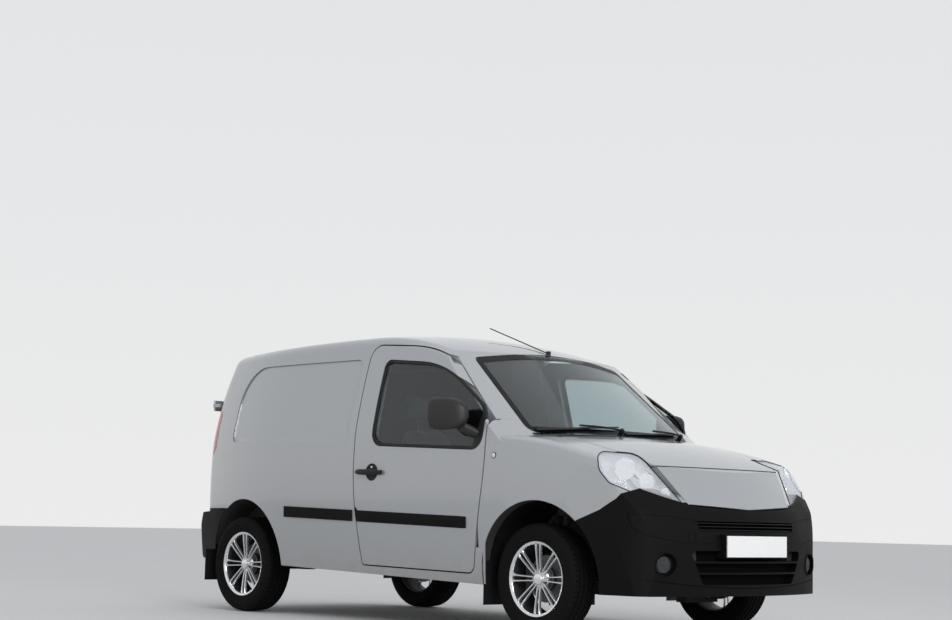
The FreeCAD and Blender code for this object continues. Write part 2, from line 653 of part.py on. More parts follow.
def build():
    rear, front, rear_shell, front_shell = outer_shapes()
    door_cut = side_prism(DOOR_OUTLINE).cut(side_solid(SIDE_WALL + SHUT_GAP))
    inside = side_solid(SIDE_WALL)
    door_body = side_prism(DOOR_OUTLINE, grow=-SHUT_GAP)
    door_core = side_prism(DOOR_OUTLINE, grow=-SHUT_GAP - DOOR_STEP)
    window = side_prism(DOOR_WINDOW)
    parts = {}

    # Roof, sides and the frames round the doors
    pillars = box(PILLAR_CUT_X, 1320, -1200, 1200, 150, PILLAR_FOOT_TOP_Z + SEAM)
    parts["roof"] = cut_each(rear_shell.common(roof_zone()), [screen_zone(SEAM), door_cut, tail_door_zone(SHUT_GAP)])
    tail_cut = tail_door_zone(SHUT_GAP)
    bumper_box = box(-2300, -1560, -1200, 1200, 0, 668 + SEAM)
    recess_skin = side_prism(SIDE_RECESS).cut(side_solid(9.0))
    right_shell = rear_shell.common(half(-1))
    side = cut_each(right_shell, [
        roof_zone(), door_cut, pillars, below_sill(), tail_cut, bumper_box, screen_zone(SEAM), tail_lamp_zone(-1, SEAM),
    ] + arches() + [box(-2300, 2300, -560, 560, 0, 1500), box(-1800, 2300, -640, 640, 0, 1300), recess_skin])
    hinges = [door_hinge(z) for z in HINGE_ZS]
    rear_hinges = [rear_hinge(REAR_HINGE_ZS[0], -668), rear_hinge(REAR_HINGE_ZS[1], -612)]
    leaves = [on_body for _, on_body in rear_hinges]
    side = side.cut(Part.makeCylinder(DOOR_SWEEP_R, 150, V(HINGE_X, -HINGE_Y, 470), V(0, 0, 1)))
    side = fuse([side] + leaves)
    parts["body_side_right"] = side
    parts["body_side_left"] = mirror(side)

    # Doors with their windows cut, and the glass
    door = cut_each(step_back(right_shell.common(door_body).cut(inside), door_core), [window] + [h[1] for h in hinges])
    door = fuse([door] + [h[2] for h in hinges])
    glass = side_solid(14.0).cut(side_solid(14.0 + GLASS)).common(half(-1)).common(side_prism(DOOR_WINDOW, grow=-0.3))
    for name, side in (("right", lambda s: s), ("left", mirror)):
        parts["door_" + name] = side(door)
        parts["door_glass_" + name] = side(glass)

    # Windscreen
    glass = screen_solid(0).cut(screen_solid(GLASS)).common(screen_zone()).common(rear).common(box(300, 1300, -900, 900, 900, 1800))
    parts["windscreen"] = glass

    # Rear doors: the left leaf is the wider one
    tail = rear_shell.common(tail_door_zone()).common(box(-2300, -1850, -1000, 1000, 0, 1700))
    split = 110.0
    lip = tail_solid(DOOR_LIP)
    core = tail_door_zone(-DOOR_STEP)
    right_edge, left_edge = -split - SHUT_GAP / 2, -split + SHUT_GAP / 2
    tail = tail.cut(lip.cut(core)).cut(lip.common(box(-2300, -1800, right_edge - DOOR_STEP, left_edge + DOOR_STEP, 0, 1900)))
    right_leaf = tail.common(box(-2300, -1800, -1000, right_edge, 0, 1900))
    left_leaf = tail.common(box(-2300, -1800, left_edge, 1000, 0, 1900))
    straps = [on_door for on_door, _ in rear_hinges]
    parts["rear_door_right"] = fuse([max(right_leaf.Solids, key=lambda s: s.Volume)] + straps)
    parts["rear_door_left"] = fuse([max(left_leaf.Solids, key=lambda s: s.Volume)] + [mirror(s) for s in straps])
    parts["tail_lamps"] = Part.makeCompound([
        max(rear_shell.common(tail_lamp_zone(sign)).Solids, key=lambda s: s.Volume) for sign in (1, -1)
    ])
    parts["rear_bumper"] = rear_bumper().cut(arches() + [tail_door_zone(SHUT_GAP + 4)])

    # Front end
    seam_cut = bumper_zone()
    lamp_cuts = [lamp_prism(sign, SEAM) for sign in (1, -1)]
    skin = front_shell.cut(seam_cut)
    bonnet = skin.common(bonnet_zone(-SHUT_GAP / 2)).cut([lamp_prism(sign, SHUT_GAP) for sign in (1, -1)])
    pins = both(cylinder_y(BONNET_HINGE_X, BONNET_HINGE_Z, BONNET_PIN_R, 640, 700))
    holes = both(cylinder_y(BONNET_HINGE_X, BONNET_HINGE_Z, BONNET_PIN_R + FIT, 630, 700))
    parts["bonnet"] = cut_each(bonnet, holes.Solids)
    panel = front_shell.common(panel_zone(-SEAM)).cut(lamp_cuts).common(box(1700, 2300, -900, 900, 0, PANEL_TOP_Z - SEAM))
    parts["grille_panel"] = max(panel.Solids, key=lambda s: s.Volume)
    wing = cut_each(skin.common(half(-1)).common(box(868 + 6, 2300, -1200, 1200, 0, 1200)), [
        bonnet_zone(SHUT_GAP / 2), panel_zone(SEAM), cowl_zone(SEAM), door_cut, lamp_cuts[1], below_sill(),
        box(800, 2300, -640, 640, 0, 1000), screen_solid(-5).common(screen_zone(5)),
    ] + arches())
    wing = cut_each(wing, [cylinder_y(BONNET_HINGE_X, BONNET_HINGE_Z, BONNET_SWEEP_R, -666, -600)])
    foot = cut_each(right_shell.common(box(WING_START_X, 1320, -1200, -1, PILLAR_FOOT_LOW_Z, PILLAR_FOOT_TOP_Z)), [
        screen_zone(SEAM), cowl_zone(SEAM), door_cut, bonnet_zone(SHUT_GAP / 2), box(800, 2300, -640, 640, 0, 1300),
    ])
    wing = fuse([wing, foot])
    wing = fuse([wing, pins.Solids[0] if pins.Solids[0].BoundBox.YMax < 0 else pins.Solids[1]])
    parts["wings"] = both(fuse([wing] + [h[0] for h in hinges]))
    lamps = []
    for sign in (-1, 1):
        lamp = front_shell.common(lamp_prism(sign)).cut(seam_cut).common(half(sign))
        lamps.append(max(lamp.Solids, key=lambda s: s.Volume))

    def fog_cylinders(radius):
        return [Part.makeCylinder(radius, 700, V(1600, y, FOG_Z), V(1, 0, 0)) for y in (-FOG_Y, FOG_Y)]

    fog_holes = fog_cylinders(FOG_R + SEAM)
    set_back = nose_solid(FOG_DEPTH).common(nose_corners(FOG_DEPTH))
    pockets = [zone.cut(set_back) for zone in fog_cylinders(FOG_POCKET_R)]
    set_back = nose_solid(FOG_DEPTH - 8).common(nose_corners(FOG_DEPTH - 8))
    lamps += [max(front_shell.common(zone).common(set_back).Solids, key=lambda s: s.Volume) for zone in fog_cylinders(FOG_R)]
    parts["front_lamps"] = Part.makeCompound(lamps)
    bumper = front_shell.common(bumper_zone()).cut(arches() + fog_holes + [panel_zone(0)])
    bumper = bumper.cut(box(800, 2300, -1200, 1200, 0, BUMPER_BOTTOM_Z)).cut(box(800, 1450, -1200, 1200, 0, 700))
    # Mouths of the upper slot and the lower grille, and the lamp pockets
    slot = front_prism([(-428, 642, 10), (428, 642, 10), (404, 590, 8), (-404, 590, 8)], 1700, 2300)
    mouth = front_prism([(-482, 484, 20), (482, 484, 20), (390, 302, 35), (-390, 302, 35)], 1700, 2300)
    bars = [box(1700, 2300, -470, 470, z - 5, z + 5) for z in (423, 363)]
    skin_depth = nose_solid(GROOVE).common(nose_corners(GROOVE))
    grooves = [front_prism(p, 1750, 2300).cut(front_prism(p, 1700, 2350, -GROOVE)).cut(skin_depth) for p in (BUMPER_FIELD, TOW_COVER)]
    bumper = cut_each(bumper, grooves + pockets + [slot, mouth.cut(bars)])
    holder = box(2030, PLATE_X - FIT, -PLATE_HALF - 8, PLATE_HALF + 8, PLATE_Z - 8, PLATE_Z + PLATE_HEIGHT + 6)
    parts["front_bumper"] = fuse([bumper, holder])
    cowl = max(front_shell.common(cowl_zone()).cut(screen_solid(-5)).Solids, key=lambda s: s.Volume)
    cowl = cowl.cut(cylinder_y(BONNET_HINGE_X, BONNET_HINGE_Z, BONNET_HINGE_CLEAR, -700, 700))
    over_glass = screen_solid(-14).cut(screen_solid(-FIT))
    wipers = [over_glass.common(front_prism([(u, v, 0) for u, v in strip], 700, 1300)) for strip in WIPERS]
    parts["cowl"] = Part.makeCompound([cowl] + [w.Solids[0] for w in wipers])
    return parts


def chassis(parts):
    # Floor: cab floor, load floor, tunnel-less rails and firewall
    floor = fuse([
        box(-420, 828, -800, 800, 300, 345),
        box(828, 1045, -WELL_INNER_Y + 6, WELL_INNER_Y - 6, 300, 345),
        box(-460, -420, -800, 800, 300, 585),
        box(-2005, -420, -800, 800, 545, 585),
        box(-2005, -420, -560, -500, 420, 545),
        box(-2005, -420, 500, 560, 420, 545),
        box(1010, 1045, -WELL_INNER_Y + 6, WELL_INNER_Y - 6, 300, 1000),
        box(1010, 1045, -790, 790, 752, 1000),
        box(-430, 1045, -88, 88, 330, 410),
    ]).cut([box(-500, 1100, -80, 80, 200, 402), box(-470, -380, -190, 80, 200, 480)])
    towers = [box(FRONT_AXLE_X - 110, FRONT_AXLE_X + 110, min(a, b), max(a, b), STRUT_TOP_Z + 14, STRUT_TOP_Z + 38) for a, b in ((440, 800), (-440, -800))]

    wells = [cylinder_y(ARCH_REAR_X, ARCH_REAR_Z, ARCH_REAR_R + 20, a, b) for a, b in ((-861, -600), (600, 861))]
    inner_wells = [cylinder_y(ARCH_REAR_X, ARCH_REAR_Z, ARCH_REAR_R, a, b) for a, b in ((-870, -620), (620, 870))]
    floor = floor.fuse([w.common(box(-2005, -900, -900, 900, 430, 900)) for w in wells]).cut(inner_wells)
    floor = floor.common(side_solid(SIDE_WALL + 0.5))
    parts["floor_pan"] = max(floor.Solids, key=lambda s: s.Volume)
    rails = fuse([
        box(1045.3, 2090, -470, -400, 430, 520), box(1045.3, 2090, 400, 470, 430, 520), box(1890, 1940, -470, 470, 440, 510),
        box(FRONT_AXLE_X - 90, FRONT_AXLE_X + 90, -470, -440, 500, STRUT_TOP_Z + 60),
        box(FRONT_AXLE_X - 90, FRONT_AXLE_X + 90, 440, 470, 500, STRUT_TOP_Z + 60),
    ] + towers)
    rails = rails.fuse([kingpin_disc(sign, KINGPIN_LENGTH + FIT, 45, 30) for sign in (1, -1)])
    parts["front_rails"] = rails.common(front_hull(SIDE_WALL + SEAM, NOSE_WALL + SEAM, BONNET_WALL + SHUT_GAP))
    liner = cylinder_y(ARCH_FRONT_X, ARCH_FRONT_Z, ARCH_FRONT_R + 8, WELL_INNER_Y, 850)
    liner = liner.cut(cylinder_y(ARCH_FRONT_X, ARCH_FRONT_Z, ARCH_FRONT_R + 1, WELL_INNER_Y - 10, 900))
    liner = liner.common(side_solid(SIDE_WALL + 1)).common(nose_corners(NOSE_WALL + 2)).common(box(800, 1700, 0, 900, 346, 1000))
    liner = liner.cut([box(800, 900, 818, 900, 300, 1000), box(FRONT_AXLE_X - 115, FRONT_AXLE_X + 115, 0, 690, 600, 1000)])
    flaps = [box(851.4, 855.4, 700, 876, 150, 398), box(-1846.9, -1842.9, 700, 876, 190, 395)]
    parts["arch_liners"] = both(Part.makeCompound([max(liner.Solids, key=lambda s: s.Volume)] + flaps))
    parts["radiator"] = box(1830, 1870, -399.6, 399.6, 320, 690)
    parts["engine"] = box(1225, 1700, -330, 330, 300, 830)
    parts["dashboard"] = side_prism([(760, 820, 60), (1009.7, 820, 0), (1009.7, 1045, 20), (860, 1078, 60), (720, 1040, 60)], -735, 735)
    seats = []
    for y in (-390, 390):
        cushion = side_prism([(-60, 560, 40), (430, 590, 60), (430, 700, 50), (-60, 680, 40)], y - 240, y + 240)
        back = side_prism([(-150, 600, 40), (-20, 640, 40), (-170, 1230, 50), (-280, 1230, 40)], y - 230, y + 230)
        base = box(-40, 380, y - 180, y + 180, 345, 570)
        head = side_prism([(-290, 1200, 30), (-190, 1200, 30), (-220, 1400, 35), (-310, 1400, 35)], y - 130, y + 130)
        seats.append(fuse([cushion, back, base, head]))
    parts["seats"] = Part.makeCompound(seats)
    bulkhead = box(-395, -365, -900, 900, 585.5, 1250).common(side_solid(SIDE_WALL + 0.5))
    parts["bulkhead"] = bulkhead
    column = Part.makeCylinder(24, 260, V(*WHEEL_CENTRE) - V(*WHEEL_AXIS) * (20 + FIT), V(*WHEEL_AXIS) * -1)
    parts["dashboard"] = fuse([parts["dashboard"], column])
    # Running gear
    axle = fuse([
        cylinder_y(REAR_AXLE_X + 260, 330, 45, -480, 480),
        box(REAR_AXLE_X - 40, REAR_AXLE_X + 300, -540, -480, 280, 350),
        box(REAR_AXLE_X - 40, REAR_AXLE_X + 300, 480, 540, 280, 350),
        cylinder_y(REAR_AXLE_X, TYRE_R, 35, -TRACK_REAR / 2 - 21.7, TRACK_REAR / 2 + 21.7),
    ])
    for y in (-510, 510):
        axle = axle.fuse([
            box(REAR_AXLE_X + 250, REAR_AXLE_X + 300, y - 15, y + 15, 340, 419.7),
            Part.makeCylinder(28, 80, V(REAR_AXLE_X, y, 339.7), V(0, 0, 1)),
        ])
    parts["rear_axle"] = axle
    parts["subframe"] = fuse([
        box(1080, 1360, -430, 430, 222, 290),
        box(1240, 1350, -300, -200, 285, 299.7),
        box(1240, 1350, 200, 300, 285, 299.7),
        box(1100, 1160, -460, -410, 260, 429.7),
        box(1100, 1160, 410, 460, 260, 429.7),
    ] + [fuse([
        kingpin_disc(sign, -25 - FIT, 22, 25),
        side_prism([(FRONT_AXLE_X - 45, 162, 0), (FRONT_AXLE_X + 35, 162, 0), (FRONT_AXLE_X + 35, 186, 0), (FRONT_AXLE_X - 45, 186, 0)],
                   min(sign * 560, sign * 690), max(sign * 560, sign * 690)),
        box(FRONT_AXLE_X - 45, FRONT_AXLE_X + 35, min(sign * 400, sign * 570), max(sign * 400, sign * 570), 162, 240),
    ]) for sign in (1, -1)])
    # Drive shafts from the engine's sides to beside the kingpins
    shafts = []
    for sign in (1, -1):
        reach = [(330.3, 596, 13), (590, 618, 30)]
        shafts.append(fuse([
            cylinder_y(FRONT_AXLE_X + 8, TYRE_R, r, min(sign * a, sign * b), max(sign * a, sign * b)) for a, b, r in reach
        ]))
    parts["subframe"] = Part.makeCompound([parts["subframe"]] + shafts)
    parts["fuel_tank"] = box(-1100, -620, -290, 440, 330, 544.7)
    # Exhaust: from the engine through the tunnel and beside the tank to the silencer
    route = Part.Wire(rounded_path([
        (EXHAUST_START_X, 0, 338), (-470, 0, 338), (-700, EXHAUST_Y, 470), (-1510, EXHAUST_Y, 470),
    ], 160))
    ring = Part.Wire(Part.makeCircle(PIPE_R, V(EXHAUST_START_X, 0, 338), V(1, 0, 0)))
    pipe = route.makePipeShell([ring], True, False)
    silencer = Part.makeCylinder(72, 440, V(-1500, EXHAUST_Y, 470), V(-1, 0, 0))
    outlet = Part.makeCylinder(PIPE_R, 95, V(-1935, EXHAUST_Y, 440), V(-1, 0, 0))
    parts["exhaust"] = fuse([pipe, silencer, outlet])
    parts["spare_wheel"] = Part.makeCylinder(285, 140, V(-1700, 40, 404.7), V(0, 0, 1))


def outside_mirror():
    """Right outside mirror: a swept head on a short arm from the door's window corner."""
    outline = [(770, -925, 20), (715, -985, 90), (605, -1064, 45), (548, -1060, 12), (556, -934, 12)]
    head = plan_prism(outline, MIRROR_Z, MIRROR_Z + MIRROR_HEIGHT)
    caps = [e for e in head.Edges if e.BoundBox.ZLength < 1]
    head = head.makeFillet(10, caps)
    glass_bay = plan_prism([(500, -1052, 0), (553, -1052, 0), (561, -946, 0), (500, -946, 0)], MIRROR_Z + 16, MIRROR_Z + MIRROR_HEIGHT - 16)
    arm = plan_prism([(690, -860, 0), (800, -860, 0), (800, -925, 0), (745, -955, 20), (690, -955, 20)], MIRROR_Z - 62, MIRROR_Z + 4)
    sail = side_solid(1.0).cut(side_solid(14.0 - FIT)).common(side_prism(DOOR_WINDOW, -1300, 0, -FIT))
    sail = sail.common(box(735, 900, -1000, 0, 1000, 1180))
    return fuse([cut_each(fuse([head, arm]), [glass_bay, side_solid(2.0)]), sail])


def corners_and_trim(parts):
    tyres = ((FRONT_AXLE_X, TRACK_FRONT, "front"), (REAR_AXLE_X, TRACK_REAR, "rear"))
    for x, track, end in tyres:
        for sign, side in ((-1, "right"), (1, "left")):
            tyre, rim = wheel(x, sign * track / 2, sign)
            parts["tyre_" + end + "_" + side] = tyre
            parts["rim_" + end + "_" + side] = rim
    parts["knuckle_right"] = knuckle(-1)
    parts["knuckle_left"] = knuckle(1)
    # Mouldings along the doors and the cargo side
    band = side_solid(-9.0).cut(side_solid(0.0))

    def moulding(x0, x1):
        zone = side_prism([
            (x0, MOULDING_TOP_Z + MOULDING_SLOPE * (x0 + 278), 0), (x1, MOULDING_TOP_Z + MOULDING_SLOPE * (x1 + 278), 0),
            (x1, MOULDING_TOP_Z - MOULDING_HEIGHT + MOULDING_SLOPE * (x1 + 278), 0),
            (x0, MOULDING_TOP_Z - MOULDING_HEIGHT + MOULDING_SLOPE * (x0 + 278), 0),
        ])
        return band.common(zone)

    parts["side_mouldings"] = moulding(MOULDING_REAR_X, -284)
    for sign, name in ((-1, "right"), (1, "left")):
        strip = moulding(-268, MOULDING_FRONT_X).common(half(sign))
        ends = sorted((sign * (HALF_WIDTH - 12), sign * (HALF_WIDTH + 33)))
        handle = box(-245, -5, ends[0], ends[1], 884, 912)
        handle = handle.cut(side_solid(-0.3))
        parts["door_trim_" + name] = Part.makeCompound([strip, max(handle.Solids, key=lambda s: s.Volume)])
        parts["mirror_" + name] = outside_mirror() if sign < 0 else mirror(outside_mirror())
    parts["front_plate"] = box(PLATE_X, LENGTH / 2, -PLATE_HALF, PLATE_HALF, PLATE_Z, PLATE_Z + PLATE_HEIGHT)
    foot = pin(ANTENNA_X, 0, 1650, 15, 40).common(above_roof(-FIT)[1])
    rod = Part.makeCylinder(3.5, 560, V(ANTENNA_X, 0, 1655), V(-0.94, 0, 0.34))
    parts["antenna"] = fuse([foot, rod])
    centre, axis = V(*WHEEL_CENTRE), V(*WHEEL_AXIS)
    ring = Part.makeTorus(185, 15, centre, axis)
    hub = Part.makeCylinder(50, 40, centre - axis * 20, axis)
    bar = box(-10, 10, -180, 180, -17, 17)
    bar.rotate(V(0, 0, 0), V(0, 1, 0), WHEEL_TILT)
    bar.translate(centre)
    parts["steering_wheel"] = fuse([ring, hub, bar])


def write(name, shape):
    solids = [s for s in shape.Solids if s.Volume > 1.0]
    if not solids:
        raise ValueError("no solid in " + name)
    out = solids[0] if len(solids) == 1 else Part.makeCompound(solids)
    out.exportStep("parts/" + name + ".step")
    print(name, len(solids), round(sum(s.Volume for s in solids) / 1e6, 2), "litres", out.isValid())


os.makedirs("parts", exist_ok=True)
if __name__ == "__main__":
    pieces = build()
    chassis(pieces)
    corners_and_trim(pieces)
    for name, shape in pieces.items():
        write(name, shape)
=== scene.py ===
# Looks of the panel van: finishes for its panels, and the pieces that are finer than the solid model's.
# Metres, +X forward, +Y the left side, +Z up, ground at zero.
import bpy
import bmesh
import math

from mathutils import Matrix, Vector
from mathutils.bvhtree import BVHTree


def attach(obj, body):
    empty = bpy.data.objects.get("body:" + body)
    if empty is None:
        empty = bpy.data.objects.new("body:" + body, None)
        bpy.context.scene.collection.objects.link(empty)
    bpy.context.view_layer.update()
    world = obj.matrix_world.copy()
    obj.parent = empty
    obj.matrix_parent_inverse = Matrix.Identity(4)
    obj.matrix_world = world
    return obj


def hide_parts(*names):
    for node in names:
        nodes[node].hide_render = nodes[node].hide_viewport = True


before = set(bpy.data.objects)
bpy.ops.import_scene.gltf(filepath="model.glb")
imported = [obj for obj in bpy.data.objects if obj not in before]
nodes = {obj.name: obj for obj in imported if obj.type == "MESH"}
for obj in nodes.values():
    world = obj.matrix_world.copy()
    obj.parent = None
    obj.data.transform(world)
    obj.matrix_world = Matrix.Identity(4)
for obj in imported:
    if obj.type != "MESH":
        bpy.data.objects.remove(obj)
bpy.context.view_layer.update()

SIDES = ((-1, "right"), (1, "left"))

# Camera
CAMERA_AT = Vector((8.422, -8.13, 0.622))
CAMERA_AZIMUTH = 46.628
CAMERA_ELEVATION = -6.516
CAMERA_ROLL = 1.196
FOCAL_PIXELS = 1840.7
IMAGE_WIDTH = 952
SENSOR = 36.0

# Wheels: end, x of the axle, half track
ENDS = (("front", 1.2315, 0.7605), ("rear", -1.4655, 0.7665))
TYRE_R = 0.308
BEAD_R = 0.2065
TREAD_PITCHES = 64
SPOKE_PAIRS = 8
RIM_STEPS = 96
LIP_STEPS = 128

# Outlines: (along, height, corner radius)
DOOR_WINDOW = [
    (-0.15, 1.594, 0.05), (0.415, 1.546, 0.9), (0.85, 1.259, 0.15), (0.842, 1.018, 0.09),
    (-0.134, 1.057, 0.09),
]
WINDSCREEN = [
    (-0.7, 1.128, 0.04), (-0.628, 1.588, 0.04), (0.0, 1.668, 3.5), (0.628, 1.588, 0.04),
    (0.7, 1.128, 0.04),
]

# Where rays towards the sides and the nose start, and how one that misses is moved
SIDE_START = 1.5
NOSE_START = 3.0
RAY_TRIES = 80
RAY_STEP = 0.01


# Materials

def shader_of(name, color, rough, metal=0.0):
    material = bpy.data.materials.new(name)
    material.use_nodes = True
    tree = material.node_tree
    shader = tree.nodes["Principled BSDF"]
    shader.inputs["Base Color"].default_value = (*color, 1.0)
    shader.inputs["Roughness"].default_value = rough
    shader.inputs["Metallic"].default_value = metal
    coords = tree.nodes.new("ShaderNodeTexCoord").outputs["Object"]
    return material, tree, shader, coords


def add_noise(tree, coords, scale, detail=3.0):
    node = tree.nodes.new("ShaderNodeTexNoise")
    node.inputs["Scale"].default_value = scale
    node.inputs["Detail"].default_value = detail
    tree.links.new(coords, node.inputs["Vector"])
    return node.outputs["Fac"]


def add_cells(tree, coords, scale):
    node = tree.nodes.new("ShaderNodeTexVoronoi")
    node.inputs["Scale"].default_value = scale
    tree.links.new(coords, node.inputs["Vector"])
    return node.outputs["Distance"]


def add_range(tree, value, from_low, from_high, to_low, to_high):
    node = tree.nodes.new("ShaderNodeMapRange")
    names = ("From Min", "From Max", "To Min", "To Max")
    for key, number in zip(names, (from_low, from_high, to_low, to_high)):
        node.inputs[key].default_value = number
    tree.links.new(value, node.inputs["Value"])
    return node.outputs["Result"]


def add_math(tree, kind, a, b):
    node = tree.nodes.new("ShaderNodeMath")
    node.operation = kind
    for socket, value in zip(node.inputs, (a, b)):
        if isinstance(value, (int, float)):
            socket.default_value = value
        else:
            tree.links.new(value, socket)
    return node.outputs["Value"]


def add_mix(tree, factor, a, b):
    """Mix of two colours, each a tuple or a socket."""
    node = tree.nodes.new("ShaderNodeMix")
    node.data_type = "RGBA"
    tree.links.new(factor, node.inputs["Factor"])
    for socket, value in ((node.inputs[6], a), (node.inputs[7], b)):
        if isinstance(value, tuple):
            socket.default_value = (*value, 1.0)
        else:
            tree.links.new(value, socket)
    return node.outputs[2]


def add_bump(tree, shader, height, strength, distance):
    node = tree.nodes.new("ShaderNodeBump")
    node.inputs["Strength"].default_value = strength
    node.inputs["Distance"].default_value = distance
    tree.links.new(height, node.inputs["Height"])
    tree.links.new(node.outputs["Normal"], shader.inputs["Normal"])


def tinted(color, factor):
    return tuple(min(1.0, c * factor) for c in color)


def moulded(name, color, rough, metal=0.0, drift=0.12, blotch=7.0, grain=500.0, strength=0.25, depth=0.0003,
            cells=False, specular=0.5):
    """A finish whose colour and roughness drift a little over a fine grain."""
    material, tree, shader, coords = shader_of(name, color, rough, metal)
    shader.inputs["Specular IOR Level"].default_value = specular
    broad = add_noise(tree, coords, blotch)
    drifted = add_mix(tree, broad, tinted(color, 1 - drift), tinted(color, 1 + drift))
    tree.links.new(drifted, shader.inputs["Base Color"])
    tree.links.new(add_range(tree, broad, 0.3, 0.7, rough - 0.05, rough + 0.05), shader.inputs["Roughness"])
    fine = add_cells(tree, coords, grain) if cells else add_noise(tree, coords, grain)
    add_bump(tree, shader, fine, strength, depth)
    return material


def paint():
    color = (0.375, 0.385, 0.4)
    dust = (0.25, 0.235, 0.21)
    material, tree, shader, coords = shader_of("body_paint", color, 0.3, 0.45)
    flakes = add_noise(tree, coords, 2400.0, 1.0)
    flaked = add_mix(tree, flakes, tinted(color, 0.9), tinted(color, 1.1))
    split = tree.nodes.new("ShaderNodeSeparateXYZ")
    tree.links.new(coords, split.inputs["Vector"])
    low = add_range(tree, split.outputs["Z"], 0.26, 0.52, 0.55, 0.0)
    film = add_math(tree, "MULTIPLY", low, add_noise(tree, coords, 9.0))
    tree.links.new(add_mix(tree, film, flaked, dust), shader.inputs["Base Color"])
    tree.links.new(add_range(tree, film, 0.0, 0.4, 0.28, 0.6), shader.inputs["Roughness"])
    shader.inputs["Coat Weight"].default_value = 1.0
    shader.inputs["Coat Roughness"].default_value = 0.04
    add_bump(tree, shader, add_noise(tree, coords, 240.0), 0.05, 0.0002)
    return material


def glass(name, color):
    """A clear pane, with a faint smear on it."""
    material, tree, shader, coords = shader_of(name, color, 0.02)
    shader.inputs["Transmission Weight"].default_value = 1.0
    shader.inputs["IOR"].default_value = 1.45
    smear = add_noise(tree, coords, 5.0)
    tree.links.new(add_range(tree, smear, 0.4, 0.8, 0.0, 0.05), shader.inputs["Roughness"])
    smeared = add_mix(tree, smear, tinted(color, 0.96), tinted(color, 1.04))
    tree.links.new(smeared, shader.inputs["Base Color"])
    return material


def clear_lens(name, color, cover):
    """A lamp cover: see-through by 1 - cover; over the rest its flat colour is painted on, a painted sheen
    when pale and painted shade when dark.
    """
    material, tree, shader, coords = shader_of(name, color, 0.07)
    smear = add_noise(tree, coords, 9.0)
    tree.links.new(add_range(tree, smear, 0.3, 0.7, 0.04, 0.1), shader.inputs["Roughness"])
    shader.inputs["Alpha"].default_value = cover
    return material


def weave():
    color = (0.06, 0.066, 0.078)
    material, tree, shader, coords = shader_of("seat_fabric", color, 0.85)
    shader.inputs["Sheen Weight"].default_value = 0.4
    heights = []
    for axis in ("X", "Y", "Z"):
        wave = tree.nodes.new("ShaderNodeTexWave")
        wave.bands_direction = axis
        wave.inputs["Scale"].default_value = 130.0
        wave.inputs["Distortion"].default_value = 0.6
        tree.links.new(coords, wave.inputs["Vector"])
        heights.append(wave.outputs["Fac"])
    cross = add_math(tree, "MAXIMUM", heights[0], add_math(tree, "MAXIMUM", heights[1], heights[2]))
    yarn = add_mix(tree, cross, tinted(color, 0.55), tinted(color, 1.7))
    worn = add_mix(tree, add_noise(tree, coords, 6.0), yarn, tinted(color, 1.3))
    tree.links.new(worn, shader.inputs["Base Color"])
    add_bump(tree, shader, cross, 0.5, 0.0006)
    return material


def tail_lens():
    """Red lens with an amber band and a clear one under it."""
    red, amber, clear = (0.42, 0.012, 0.012), (0.55, 0.16, 0.02), (0.62, 0.55, 0.53)
    clear_from, amber_from, red_from = 0.88, 0.95, 1.02
    material, tree, shader, coords = shader_of("tail_lens", red, 0.12)
    split = tree.nodes.new("ShaderNodeSeparateXYZ")
    tree.links.new(coords, split.inputs["Vector"])
    height = split.outputs["Z"]
    above = add_math(tree, "GREATER_THAN", height, red_from)
    below = add_math(tree, "LESS_THAN", height, clear_from)
    middle = add_mix(tree, add_math(tree, "GREATER_THAN", height, amber_from), clear, amber)
    banded = add_mix(tree, add_math(tree, "MAXIMUM", above, below), middle, red)
    tree.links.new(banded, shader.inputs["Base Color"])
    ribs = tree.nodes.new("ShaderNodeTexWave")
    ribs.bands_direction = "Z"
    ribs.inputs["Scale"].default_value = 45.0
    tree.links.new(coords, ribs.inputs["Vector"])
    add_bump(tree, shader, ribs.outputs["Fac"], 0.35, 0.0008)
    smear = add_noise(tree, coords, 12.0)
    tree.links.new(add_range(tree, smear, 0.3, 0.7, 0.08, 0.16), shader.inputs["Roughness"])
    shader.inputs["Coat Weight"].default_value = 0.8
    return material


